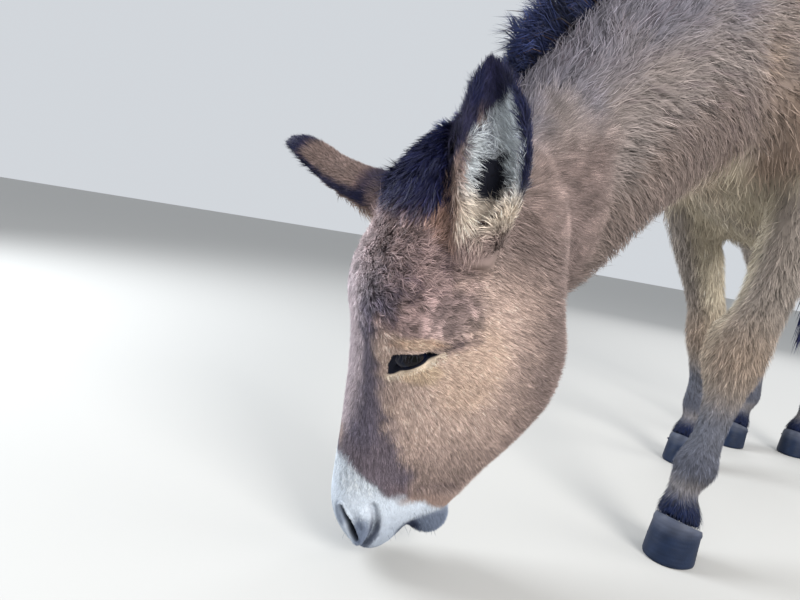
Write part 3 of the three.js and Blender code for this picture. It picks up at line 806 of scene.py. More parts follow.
# %% Divide and press
def refine(piece, inside):
    """Divides the edges of one region of a mesh."""
    mesh = bmesh.new()
    mesh.from_mesh(piece.data)
    mesh.verts.ensure_lookup_table()
    chosen = inside(np.array([v.co for v in mesh.verts]))
    edges = [e for e in mesh.edges if chosen[e.verts[0].index] and chosen[e.verts[1].index]]
    bmesh.ops.subdivide_edges(mesh, edges=edges, cuts=1, use_grid_fill=True)
    mesh.to_mesh(piece.data)
    mesh.free()
    points = coords_of(piece.data)
    amount = inside(points).astype(float)[:, None]
    links = Neighbours(piece.data)
    for _ in range(6):
        points = points + 0.5 * amount * (links.mean(points) - points)
    set_coords(piece.data, points)


NOSTRIL = [(422, 5, 31), (431, 10, 35), (439, 15, 38), (448, 19, 39), (460, 24, 40)]
NOSTRIL_REACH = 5.0
NOSTRIL_DEPTH = 13.0


def on_muzzle(points):
    down, depth, _ = head_coords(points)
    return (down > 380) & (depth < 170)


def by_nostril(points):
    return path_gap(points, NOSTRIL) < 19


def by_eye(points):
    down, depth, left = head_coords(points)
    away = np.hypot(down - EYE_AT[0], depth - EYE_AT[1])
    return (away < 48) & (np.abs(left) > 40)


refine(skin, on_muzzle)
refine(skin, by_nostril)
refine(skin, by_eye)

points = coords_of(skin.data)
links = Neighbours(skin.data)
normals = normals_of(skin.data)
for line, radius, rise in FORMS.values():
    gap = path_gap(points, line)
    points += normals * (rise * MM * np.exp(-(gap / radius) ** 2))[:, None]
set_coords(skin.data, points)

normals = normals_of(skin.data)
for _ in range(4):
    normals = links.mean(normals)
gap = path_gap(points, NOSTRIL)
gap = gap * np.interp(head_coords(points)[0], [420, 440, 455], [1.5, 1.0, 0.82])
sink = -NOSTRIL_DEPTH * (1 - smoothstep(NOSTRIL_REACH * 0.5, NOSTRIL_REACH * 1.25, gap))
rim = 1.5 * np.exp(-((gap - NOSTRIL_REACH * 1.7) / 2.2) ** 2)
points += normals * ((sink + rim) * MM)[:, None]
set_coords(skin.data, points)
nostril_gap = gap
print("face pressed,", len(skin.data.polygons), "faces")

# %% [markdown]
# ## Eyelids
# A real eyelid is a thin rolled edge that lies on the ball. Each eye gets a patch of
# rings round its almond opening. The patch starts on the ball, rolls over the lid's edge,
# has a crease above and a soft fold below, and meets the face about 17 mm further out,
# where it tucks under the skin. It stays an open sheet: it joins the skin's object, but no
# face of the skin. The skin beneath it sinks out of the way.

# %% Lid patches
# the opening's edge as (down, depth) from the middle of the ball, inner corner first
UPPER_LID = [(28, -18), (14, -20.5), (1, -20), (-3, -9), (-4.5, 5), (-6, 16), (-7, 25)]
LOWER_LID = [(-7, 25), (-3, 19), (3, 13), (8.5, 3), (16, -9), (28, -18)]
LID_MIDDLE = np.array([5.0, -4.0])
LID_TURNS = 96
LID_RINGS = [-9, -5, -2, -0.6, 0.3, 1.2, 2.2, 3.4, 5.0, 6.5, 8.0, 9.5, 11.5, 14.0, 17.0]
BALL_RIM = 17.2
# the line through both corners: down + slope x depth = level
LID_SLOPE = 0.81
LID_LEVEL = 13.4


def lid_margin():
    """The edge of the opening, evenly spaced by angle round its middle."""
    outline = np.array(UPPER_LID + LOWER_LID[1:-1], float) - LID_MIDDLE
    closed = np.vstack([outline, outline[:1]])
    dense = np.concatenate([
        np.linspace(a, b, 40, endpoint=False) for a, b in zip(closed[:-1], closed[1:])])
    for _ in range(14):
        dense = 0.5 * dense + 0.25 * (np.roll(dense, 1, 0) + np.roll(dense, -1, 0))
    angles = np.arctan2(dense[:, 1], dense[:, 0])
    order = np.argsort(angles)
    turns = np.linspace(-np.pi, np.pi, LID_TURNS, endpoint=False)
    reach = np.interp(turns, angles[order], np.hypot(*dense.T)[order], period=2 * np.pi)
    return np.stack([np.cos(turns), np.sin(turns)], 1) * reach[:, None] + LID_MIDDLE


MARGIN = lid_margin()


def margin_gap(points):
    """Distance outwards from the edge of the nearest eye's opening, in mm."""
    down, depth, left = head_coords(points)
    flat = np.stack([down - EYE_AT[0], depth - EYE_AT[1]], 1)
    close = np.where((np.hypot(*flat.T) < 60) & (np.abs(left) > 40))[0]
    gap = np.full(len(points), NOWHERE)
    apart = np.linalg.norm(flat[close, None] - MARGIN, axis=2)
    nearest = apart.argmin(1)
    within = np.hypot(*(flat[close] - LID_MIDDLE).T) < np.hypot(*(MARGIN[nearest] - LID_MIDDLE).T)
    gap[close] = np.where(within, -1, 1) * apart.min(1)
    return gap


RAY_START = 140  # mm to the side of the head, clear of the skin
NOWHERE = 99.0  # mm, a gap that stands for nowhere near


def skin_heights(tree, hand, flat):
    """How far the skin lies outwards from the ball's middle, over each (down, depth)."""
    heights = []
    ray = Vector(HEAD @ np.array([-hand, 0, 0]))
    for down, depth in flat:
        start = Vector(head_point(EYE_AT[0] + down, EYE_AT[1] + depth, hand * RAY_START))
        hit = tree.ray_cast(start, ray)[0]
        heights.append(RAY_START - (start - hit).length / MM - EYE_AT[2])
    return np.array(heights)


def lid_patch(tree, hand):
    """Points, ring by ring, of one eye's lids, in the scene's metres."""
    outward = np.roll(MARGIN, -1, 0) - np.roll(MARGIN, 1, 0)
    outward = np.stack([outward[:, 1], -outward[:, 0]], 1)
    for _ in range(6):
        outward = 0.5 * outward + 0.25 * (np.roll(outward, 1, 0) + np.roll(outward, -1, 0))
    outward /= np.linalg.norm(outward, axis=1, keepdims=True)
    outward *= np.sign(((MARGIN - LID_MIDDLE) * outward).sum(1))[:, None]
    reach = np.linalg.norm(MARGIN, axis=1)
    above = smoothstep(-2, -8, MARGIN[:, 0])
    rows = []
    for ring in LID_RINGS:
        flat = MARGIN + outward * ring
        if ring < 0:
            share = -ring / 9
            rim = MARGIN * np.minimum(1, BALL_RIM / reach)[:, None]
            flat = MARGIN + (rim - MARGIN) * min(1, share * 1.4) + outward * ring * 0.12
        away = np.linalg.norm(flat, axis=1)
        ball = np.sqrt(np.maximum((EYE_RADIUS + 1.9) ** 2 - away ** 2, 0))
        skin_height = skin_heights(tree, hand, flat)
        on_ball = smoothstep(24, 15, away) * smoothstep(9, 0, ring)
        height = skin_height + (ball - skin_height) * on_ball
        height -= 1.6 * smoothstep(9, 0, ring) * (1 - on_ball)
        crease = 1.7 * math.exp(-((ring - 8.0) / 1.8) ** 2)
        pouch = 0.8 * math.exp(-((ring - 6.0) / 2.0) ** 2)
        height -= crease * above + pouch * (1 - above)
        height += 0.7 * math.exp(-((ring - 3.4) / 2.4) ** 2)
        height -= 1.2 * smoothstep(0.8, -0.6, ring)
        if ring < -0.6:
            behind = np.sqrt(np.maximum((EYE_RADIUS - 0.8) ** 2 - away ** 2, 0))
            height = height + (behind - height) * smoothstep(0, 7, -ring)
        if ring == LID_RINGS[-1]:
            height -= 0.9
        rows.append(np.array([
            head_point(EYE_AT[0] + a, EYE_AT[1] + b, hand * (EYE_AT[2] + h))
            for (a, b), h in zip(flat, height)]))
    return np.concatenate(rows)


def tree_of(piece):
    mesh = bmesh.new()
    mesh.from_mesh(piece.data)
    tree = BVHTree.FromBMesh(mesh)
    mesh.free()
    return tree


def grid_faces(rings, turns, flip):
    """Quads between closed rings of points."""
    faces = []
    for ring in range(rings - 1):
        for turn in range(turns):
            after = (turn + 1) % turns
            quad = [ring * turns + turn, ring * turns + after,
                    (ring + 1) * turns + after, (ring + 1) * turns + turn]
            faces.append(quad[::-1] if flip else quad)
    return faces


skin_tree = tree_of(skin)
lids = []
for name, hand in SIDES:
    mesh = bpy.data.meshes.new("lids_" + name)
    faces = grid_faces(len(LID_RINGS), LID_TURNS, hand > 0)
    mesh.from_pydata(lid_patch(skin_tree, hand).tolist(), [], faces)
    lids.append(add_object("lids_" + name, mesh))

points = coords_of(skin.data)
gap = margin_gap(points)
inward = HEAD @ np.array([-1.0, 0, 0])
hand = np.sign(head_coords(points)[2])[:, None]
push = 16 * smoothstep(9, 0, gap) + 1.0 * smoothstep(15, 9, gap)
set_coords(skin.data, points + hand * inward * push[:, None] * MM)
skin_points = len(skin.data.vertices)
bpy.ops.object.select_all(action="DESELECT")
for piece in [*lids, skin]:
    piece.select_set(True)
bpy.context.view_layer.objects.active = skin
bpy.ops.object.join()
print("lids joined,", len(skin.data.polygons), "faces in the skin")

# %% [markdown]
# ## Which part is where
# Every point of the skin is told which solid it came from, as the ears, the head, the neck
# and the legs wear different hair. The ears also need their own measures: how far along
# from root to tip, how far to the side, and whether a point looks into the cup.

# %% Parts and ears
EARS = {
    "left": ([(0.1028, -0.754, 0.429), (0.1108, -0.762, 0.513), (0.0548, -0.734, 0.625)],
             (0.71, -0.69, -0.10)),
    "right": ([(-0.0342, -0.768, 0.456), (-0.1392, -0.792, 0.470), (-0.2252, -0.823, 0.512)],
              (-0.15, 0.15, -0.98)),
}


def unit(vectors):
    return vectors / np.maximum(np.linalg.norm(vectors, axis=-1, keepdims=True), 1e-12)


def ear_measures(points, side):
    """Along (0 to 1), sideways in metres, and the ear's own axes, for each point."""
    line, opening = EARS[side]
    line = np.array(line)
    opening = np.array(opening)
    spans = np.linalg.norm(np.diff(line, axis=0), axis=1)
    best = np.full(len(points), 1e9)
    along = np.zeros(len(points))
    foot = np.zeros((len(points), 3))
    axis = np.zeros((len(points), 3))
    walked = 0
    for start, end, span in zip(line[:-1], line[1:], spans):
        step = (end - start) / span
        t = np.clip((points - start) @ step, 0 if walked else -0.03, span)
        place = start + t[:, None] * step
        gap = np.linalg.norm(points - place, axis=1)
        closer = gap < best
        best = np.where(closer, gap, best)
        along = np.where(closer, (walked + t) / spans.sum(), along)
        foot[closer] = place[closer]
        axis[closer] = step
        walked += span
    across = unit(np.cross(axis, opening))
    sideways = ((points - foot) * across).sum(1)
    return along, sideways, axis, across, unit(np.cross(across, axis))


EAR_BANDS = 16


def ear_width(along, sideways):
    """Half the width of an ear in bands from root to tip."""
    bands = np.clip((along * EAR_BANDS).astype(int), 0, EAR_BANDS - 1)
    width = np.array([
        np.percentile(np.abs(sideways[bands == b]), 98) if (bands == b).any() else 0.01
        for b in range(EAR_BANDS)])
    return np.convolve(np.pad(width, 1, mode="edge"), [0.25, 0.5, 0.25], "valid")


EAR_WIDTHS = {}


def ear_rim(along, sideways, side):
    """How near the rim each point is: 0 on the middle line, 1 at the edge."""
    middles = (np.arange(EAR_BANDS) + 0.5) / EAR_BANDS
    return np.abs(sideways) / np.interp(along, middles, EAR_WIDTHS[side])


def claim_cups(points, normals, owners):
    """Gives the flesh at the bottom of each ear's cup to that ear."""
    for side, _ in SIDES:
        along, sideways, _, _, opening = ear_measures(points, side)
        mine = owners == "ear_" + side
        EAR_WIDTHS[side] = ear_width(along[mine], sideways[mine])
        deep = (along > 0.06) & (along < 0.98) & ((normals * opening).sum(1) > 0.25)
        line = np.array(EARS[side][0])
        gap = np.linalg.norm(points[:, None] - line, axis=2).min(1)
        close = (np.abs(sideways) < 0.034) & (gap < 0.06)
        cup = deep & close & (ear_rim(along, sideways, side) < 0.92)
        owners[cup & np.isin(owners, ("head", "neck"))] = "ear_" + side


def ear_side(along, sideways, side):
    """From -1 at the front rim to 1 at the back rim."""
    hand = 1 if side == "left" else -1
    return ear_rim(along, sideways, side) * np.sign(sideways) * hand


FRONT_ALONG = [0.0, 0.04, 0.37, 0.50, 0.60, 0.70, 0.78]
FRONT_BAND = [0.10, 0.12, 0.16, 0.26, 0.50, 0.90, 2.0]


def ear_back(along, across, facing_in):
    """1 on the outside of the ear and on its broad front rim, 0 in the cup."""
    band = -1 + np.interp(along, FRONT_ALONG, FRONT_BAND)
    folded = smoothstep(band + 0.10, band - 0.06, across)
    return np.maximum(1 - smoothstep(-0.05, 0.2, facing_in), folded)


def ear_colours(points, normals, side, colours):
    """Brown outside with a dark rim, tip and root; inside pale round a hollow painted black for
    the shade in the cup.
    """
    along, sideways, _, _, opening = ear_measures(points, side)
    place = ear_side(along, sideways, side)
    rim = np.abs(place)
    turned = (normals * opening).sum(1)
    back = ear_back(along, place, turned)
    outer = np.tile(SHADE["rust"], (len(points), 1))
    outer = mix(outer, "jaw", smoothstep(0.0, 0.25, along) * 0.85)
    outer = mix(outer, "curl", smoothstep(0.26, 0.10, along) * 0.8)
    near_side = side == "left"
    front_rim, start = (-0.45, 0.22) if near_side else (-0.84, 0.34)
    dark_rim = smoothstep(start, start + 0.16, along)
    dark_rim *= smoothstep(front_rim, front_rim - 0.12, place)
    dark_rim *= 1.0 if near_side else smoothstep(-0.35, 0.0, turned)
    outer = mix(outer, "dark", smoothstep(0.20, 0.06, along) * (0.1 if near_side else 0.75))
    edge = smoothstep(0.45, 0.80, along) * smoothstep(0.75, 0.95, rim)
    edge = np.maximum(edge, smoothstep(0.88, 0.95, rim)) * smoothstep(-0.35, 0.0, turned)
    outer = mix(outer, "dark", np.maximum(dark_rim, edge) * 0.95)
    looks_in = smoothstep(-0.05, 0.2, turned)
    tip_at = 0.80 if near_side else 0.68
    tip = smoothstep(tip_at - 0.20 * looks_in, tip_at + 0.10 - 0.16 * looks_in, along)
    outer = mix(outer, "dark", tip * 0.97)
    inner = np.tile(SHADE["fleece"], (len(points), 1))
    inner = mix(inner, "rim", smoothstep(0.28, 0.12, along) * 0.8)
    wander = waves(points, 0.010, 18)
    # painted shade: the hollow at the bottom of the cup is painted black
    hollow = smoothstep(0.58, 0.42, np.abs(place - 0.10 + 0.08 * wander))
    hollow *= smoothstep(0.12, 0.18, along) * smoothstep(0.46, 0.38, along + 0.03 * wander)
    inner = mix(inner, "black", hollow)
    # painted shade: a grey streak up the middle, between the two fans of pale hair
    grey = smoothstep(0.35, 0.1, np.abs(place + 0.1)) * smoothstep(0.35, 0.5, along)
    inner = mix(inner, "shank", grey * 0.6)
    inner = mix(inner, "dark", smoothstep(0.64, 0.76, along) * 0.97)
    inner = mix(inner, "dark", smoothstep(0.84, 0.92, place) * smoothstep(0.12, 0.26, along))
    front_edge = smoothstep(-0.66, -0.84, place)
    inner = mix(inner, "rust", front_edge * smoothstep(0.66, 0.5, along) * 0.8)
    both = inner + (outer - inner) * back[:, None]
    fade = smoothstep(-0.02, 0.08, along)[:, None]
    return colours + (both - colours) * fade


def markings(points, normals, owners):
    """The colour of skin and coat at each point."""
    down, depth, left = head_coords(points)
    colours = body_colours(points)
    colours = leg_colours(points, colours)
    colours = stripe_colours(points, colours)
    is_head = smoothstep(-25, 40, down + 0.35 * (depth - 60)) * (depth < 330)
    is_head = is_head * smoothstep(300, 230, depth) * (down < 520)
    colours += (head_colours(points) - colours) * is_head[:, None]
    poll = smoothstep(78, 34, down + 0.3 * np.abs(left)) * smoothstep(120, 84, depth)
    poll *= smoothstep(78, 62, np.abs(left) + 0.2 * down)
    colours = mix(colours, "dark", poll * (down > -120) * 0.9)
    lid = margin_gap(points)
    below = down - EYE_AT[0] + LID_SLOPE * (depth - EYE_AT[1]) - LID_LEVEL
    rim = smoothstep(9.0, 5.5, lid) * smoothstep(1.0, 2.2, lid) * smoothstep(-3, 2, below)
    colours = mix(colours, "rim", rim * 0.9)
    for side, _ in SIDES:
        mine = np.where(owners == "ear_" + side)[0]
        colours[mine] = ear_colours(points[mine], normals[mine], side, colours[mine])
    return colours


points = coords_of(skin.data)
normals = normals_of(skin.data)
owners = owners_of(points)
claim_cups(points, normals, owners)
gap = margin_gap(points)
hidden = (gap < 14.5) & (np.arange(len(points)) < skin_points)
gap[:skin_points] = NOWHERE
colours = markings(points, normals, owners)
colours = mix(colours, "black", smoothstep(2.8, 1.5, gap) * (np.abs(gap) < 90))
nostril = np.full(len(points), NOWHERE)
nostril[:skin_points] = nostril_gap
# painted shade: the nostril's opening is near black for the shade inside it
colours = mix(colours, "black", smoothstep(NOSTRIL_REACH + 1.5, NOSTRIL_REACH - 1, nostril))
COAT_SHADOW = 0.72


def paint(mesh, name, colours):
    layer = mesh.color_attributes.new(name, "FLOAT_COLOR", "POINT")
    values = np.column_stack([colours, np.ones(len(colours))])
    layer.data.foreach_set("color", values.astype(np.float32).ravel())


bare = smoothstep(400, 440, head_coords(points)[0])
paint(skin.data, "coat", colours * (COAT_SHADOW + (1 - COAT_SHADOW) * bare)[:, None])
print({name: int((owners == name).sum()) for name in FLESH})

# %% [markdown]
# ## Tufts
# A real coat is hundreds of thousands of hairs that cling together in points. Each tuft
# here stands for such a point: a slim spike with a flat base, a ridge on top and a tip.
# Roots are scattered by area over the skin, the spike leaves along the lie of the coat,
# and the tips of neighbours lean together in clumps. A tuft of one section is straight,
# and one of two or more has joints, where it can bend back to the skin.


# %% Scatter roots
def scatter(piece, weight_of, count, seed):
    """Place, normal and nearest vertex of each root, spread by area times a weight."""
    mesh = piece.data
    mesh.calc_loop_triangles()
    corners = np.empty(len(mesh.loop_triangles) * 3, np.int64)
    mesh.loop_triangles.foreach_get("vertices", corners)
    corners = corners.reshape(-1, 3)
    points = coords_of(mesh)
    normals = normals_of(mesh)
    a, b, c = points[corners[:, 0]], points[corners[:, 1]], points[corners[:, 2]]
    area = 0.5 * np.linalg.norm(np.cross(b - a, c - a), axis=1)
    weight = area * weight_of[corners].mean(1)
    draw = np.random.default_rng(seed)
    total = np.cumsum(weight)
    picks = np.searchsorted(total, (np.arange(count) + draw.random(count)) / count * total[-1])
    picks = np.clip(picks, 0, len(corners) - 1)
    r1 = np.sqrt(draw.random(count))[:, None]
    r2 = draw.random(count)[:, None]
    share = np.hstack([1 - r1, r1 * (1 - r2), r1 * r2])
    chosen = corners[picks]
    places = (points[chosen] * share[:, :, None]).sum(1)
    facing = unit((normals[chosen] * share[:, :, None]).sum(1))
    return places, facing, chosen[np.arange(count), share.argmax(1)]


def clumps(places, size, seed):
    """A clump number for each place, and the middle of its clump."""
    warped = places + size * 0.6 * np.stack(
        [waves(places, size * 3.0, seed + k, 3) for k in range(3)], 1)
    cells = np.floor(warped / size).astype(np.int64)
    keys = cells[:, 0] * 73856093 ^ cells[:, 1] * 19349663 ^ cells[:, 2] * 83492791
    numbers = np.unique(keys, return_inverse=True)[1]
    total = np.bincount(numbers)
    middle = np.stack([np.bincount(numbers, places[:, k]) for k in range(3)], 1)
    return numbers, (middle / total[:, None])[numbers]


def unwrap(places, start, end, column, columns):
    """A place on the map for each root: along the line, and round it."""
    start, end = np.array(start), np.array(end)
    span = np.linalg.norm(end - start)
    axis = (end - start) / span
    side = unit(np.cross(axis, [0.31, 0.2, 0.93]))
    front = np.cross(axis, side)
    away = places - start
    turn = np.arctan2(away @ side, away @ front) / (2 * np.pi) + 0.5
    along = np.clip(away @ axis / span, 0, 1)
    return np.stack([(column + 0.02 + 0.96 * turn) / columns, 0.01 + 0.98 * along], 1)


# %% Grow tufts
PATCH = 0.003
SPLAY = math.radians(38)


def tuft_faces(sections, closed):
    """Triangles of one spike. An open one leaves out the flat side on the skin."""
    faces = []
    sides = ((0, 1), (1, 2), (2, 0)) if closed else ((1, 2), (2, 0))
    for k in range(sections - 1):
        for a, b in sides:
            low, high = 3 * k, 3 * k + 3
            faces += [(low + a, low + b, high + b), (low + a, high + b, high + a)]
    last = 3 * (sections - 1)
    tip = 3 * sections
    faces += [(last + a, last + b, tip) for a, b in sides]
    return np.array(faces)


def grow(name, roots, facing, way, length, rise, curl, width, colours, maps,
         sections=1, closed=False, cling=0.3, clump_size=0.006, spread=0.10, seed=1,
         shade=(0.55, 1.12), vary=0.22, patchy=0.12, contrast=None):
    """One mesh of tufts. Lengths are in metres, rise is the height of the tip. Shade gives the
    factors of painted shade at the root and painted light at the tip.
    """
    count = len(roots)
    draw = np.random.default_rng(seed)
    numbers, middle = clumps(roots, clump_size, seed)
    groups = numbers.max() + 1
    way = way + draw.normal(0, 1, (count, 3)) * (spread + 0.15 * curl)[:, None]
    way = way + draw.normal(0, 1, (groups, 3))[numbers] * (0.45 * curl)[:, None]
    way = unit(way - facing * (way * facing).sum(1)[:, None])
    side = np.cross(facing, way)
    lean = (middle - roots) * cling
    size = length * draw.uniform(0.72, 1.22, count)
    height = rise * draw.uniform(0.6, 1.3, count)
    flat = np.sqrt(np.maximum(size ** 2 - height ** 2, (0.2 * size) ** 2))
    swing = draw.uniform(0, 2 * np.pi, groups)[numbers] + draw.normal(0, 0.6, count)
    roll = draw.uniform(-SPLAY, SPLAY, count)[:, None]
    flank = side * np.cos(roll) + facing * np.sin(roll)
    ridge = facing * np.cos(roll) - side * np.sin(roll)
    girth = width * draw.uniform(0.75, 1.25, count)
    points = np.empty((count, 3 * sections + 1, 3))
    tones = np.empty((count, 3 * sections + 1))
    for k in range(sections + 1):
        t = k / sections
        up = height * (1 - (1 - t) ** 2) - 0.0006 * (1 - t)
        bend = size * curl * 0.22 * np.sin(swing + 4.5 * t) * t
        core = (roots + way * (flat * t)[:, None] + facing * up[:, None]
                + side * bend[:, None] + lean * t ** 1.5)
        # painted shade darkens each tuft towards its root and painted light brightens it towards
        # its tip
        tone = shade[0] + (shade[1] - shade[0]) * t
        if k == sections:
            points[:, -1] = core
            tones[:, -1] = tone
            break
        half = (0.5 * girth * (1 - 0.35 * t))[:, None]
        points[:, 3 * k] = core - flank * half
        points[:, 3 * k + 1] = core + flank * half
        points[:, 3 * k + 2] = core + ridge * half * 0.7
        tones[:, 3 * k:3 * k + 3] = tone
    strand = draw.normal(0, vary, count) + draw.normal(0, patchy, groups)[numbers]
    strand = strand + np.where(draw.random(count) < 0.14, -0.45, 0.0)
    contrast = np.ones(count) if contrast is None else contrast
    tones = np.exp(contrast[:, None] * (np.log(tones) + strand[:, None]))
    shades = colours[:, None, :] * tones[:, :, None]
    faces = tuft_faces(sections, closed)
    stride = 3 * sections + 1
    corners = (np.arange(count)[:, None, None] * stride + faces[None]).reshape(-1)
    mesh = bpy.data.meshes.new(name)
    mesh.vertices.add(count * stride)
    mesh.vertices.foreach_set("co", points.ravel())
    mesh.loops.add(len(corners))
    mesh.loops.foreach_set("vertex_index", corners.astype(np.int32))
    mesh.polygons.add(len(corners) // 3)
    mesh.polygons.foreach_set("loop_start", np.arange(0, len(corners), 3, dtype=np.int32))
    mesh.update(calc_edges=True)
    mesh.polygons.foreach_set("use_smooth", np.ones(len(corners) // 3, bool))
    paint(mesh, "coat", np.clip(shades.reshape(-1, 3), 0, 1))
    steps = np.arange(stride)
    offset = np.stack([(steps % 3) / 2.0 - 0.5, steps / (stride - 1) - 0.5], 1) * PATCH
    spots = (maps[:, None, :] + offset[None]).reshape(-1, 2)[corners]
    mesh.uv_layers.new(name="OFBake").data.foreach_set("uv", spots.astype(np.float32).ravel())
    piece = add_object(name, mesh)
    print(name, count, "tufts,", len(corners) // 3, "triangles")
    return piece


# %% [markdown]
# ## The coat, part by part
# The head gets the smallest and densest tufts, as it is seen from close by. Brow, trunk and
# the right side of the neck wear tufts with a joint, and the rest are straight. Every part
# is weighted so that short hair is denser than long hair, and nothing grows on the eyeball's
# side of the lids, in the nostrils or under the hooves.

# %% Head, neck, trunk and legs
way, length, stand, curl = lie_of_coat(points)
down, depth, left = head_coords(points)
outside_lids = np.abs(gap) < 60
length = np.where(outside_lids, np.minimum(length, 0.0018 + np.maximum(gap, 0) * 0.00042), length)
stand = np.where(outside_lids & (gap < 8), 0.30, stand)
tuft_width = (0.58 + 0.022 * length / MM) * MM * (1 - 0.28 * (owners == "neck"))
height = length * stand * (1 - 0.25 * (owners == "neck"))
contrast = 1 - 0.75 * smoothstep(385, 410, down) * (owners == "head")
weight = 1 / (tuft_width * (length + 0.002))
weight *= (gap > 2.4) & ~hidden
weight *= smoothstep(NOSTRIL_REACH, NOSTRIL_REACH + 2, nostril)
weight *= smoothstep(0.045, 0.07, points[:, 2]) + (owners == "head")
COAT_PIECES = []
STRAY = 0.0035
STREAK = 0.006
eye_away = np.hypot(down - EYE_AT[0], depth - EYE_AT[1])
stray_share = 1 - 0.75 * (owners == "head") * np.maximum(
    smoothstep(110, 60, eye_away), smoothstep(350, 375, down))
behind_jaw = smoothstep(150, 215, depth)
streak_depth = np.where(owners == "head", 0.34 + 0.35 * behind_jaw, 0.75)


def coat(name, region, count, seed, lines, **options):
    """Tufts over one region of the skin; lines are the axes of its map."""
    roots, facing, picks = scatter(skin, weight * region, count, seed)
    labels = owners[picks]
    stray = np.random.default_rng(seed).normal(0, 1, (count, 3)) * STRAY
    stray *= stray_share[picks][:, None]
    tones = markings(roots + stray, facing, labels)
    # streaks across the hair: partly real darker and lighter strands, partly painted shade and
    # painted light between the locks
    streak = streaks(roots, unit(way[picks]), STREAK * (0.6 + 25 * length[picks].mean()), seed)
    streak = streak * contrast[picks]
    dark, light = smoothstep(0.2, 1.3, streak), smoothstep(-0.3, -1.4, streak)
    tones = tones * np.exp(streak_depth[picks] * (0.4 * light - dark))[:, None]
    maps = np.zeros((count, 2))
    for column, (start, end, inside) in enumerate(lines):
        mine = inside(roots, labels)
        maps[mine] = unwrap(roots[mine], start, end, column, len(lines))
    piece = grow(name, roots, facing, way[picks], length[picks], height[picks],
                 curl[picks], tuft_width[picks], tones, maps, seed=seed,
                 contrast=contrast[picks], **options)
    COAT_PIECES.append(piece)


def everywhere(roots, labels):
    return np.ones(len(roots), bool)


def line_of(node, inside):
    low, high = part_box(node)
    middle = (low + high) / 2
    return (middle.x, middle.y, low.z), (middle.x, middle.y, high.z), inside


HEAD_LINE = [(head_point(-60, 100, 0), head_point(520, 70, 0), everywhere)]
NECK_LINE = [((0.043, -0.80, 0.45), (0.043, -0.18, 0.84), everywhere)]
TRUNK_LINE = [((0.043, -0.35, 0.78), (-0.043, 0.85, 0.85), everywhere)]
is_head = owners == "head"
is_brow = is_head * smoothstep(185, 165, down) * smoothstep(125, 105, depth)
is_face = is_head - is_brow
long_hair = {"sections": 2, "cling": 0.22, "clump_size": 0.007, "vary": 0.18}
# the curls get deep painted shade at their roots and painted light at their tips
coat("coat_forehead", is_brow, 26000, 20, HEAD_LINE, sections=2, cling=0.5, clump_size=0.008,
     shade=(0.34, 1.28), patchy=0.30)
coat("coat_head_left", is_face * (left > 18), 84000, 21, HEAD_LINE, vary=0.28)
coat("coat_head_right", is_face * (left < -18), 38000, 22, HEAD_LINE)
coat("coat_head_middle", is_face * (np.abs(left) <= 18), 20000, 23, HEAD_LINE)
is_neck = owners == "neck"
neck_hair = {"cling": 0.34, "clump_size": 0.009, "vary": 0.34, "patchy": 0.24}
is_neck_left = is_neck * (left > 0)
coat("coat_neck_left_high", is_neck_left * (depth < 300), 78000, 24, NECK_LINE, **neck_hair)
coat("coat_neck_left_low", is_neck_left * (depth >= 300), 78000, 29, NECK_LINE, **neck_hair)
coat("coat_neck_right", is_neck * (left <= 0), 19000, 25, NECK_LINE, **long_hair)
is_trunk = (owners == "trunk") | (owners == "tail")
coat("coat_trunk", is_trunk.astype(float), 32000, 26, TRUNK_LINE, **long_hair)
for pair, seed in (("fore", 27), ("hind", 28)):
    names = [name for name in LEGS if name.startswith(pair)]
    lines = [line_of(node, lambda roots, labels, node=node: labels == node) for node in names]
    coat("coat_legs_" + pair, np.isin(owners, names).astype(float), 27000, seed, lines,
         cling=0.4, clump_size=0.009, vary=0.30, patchy=0.2)

# %% [markdown]
# ## Ears
# An ear is a cup. Outside it wears short hair that runs to the tip and stands over the
# rim. Inside, long pale hair grows from both edges across the opening and leaves the
# hollow in the middle, whose skin is painted black for the shade in the cup.

# %% Coat of the ears
EAR_HAIR = {"outer": 11000, "inner": 8500}


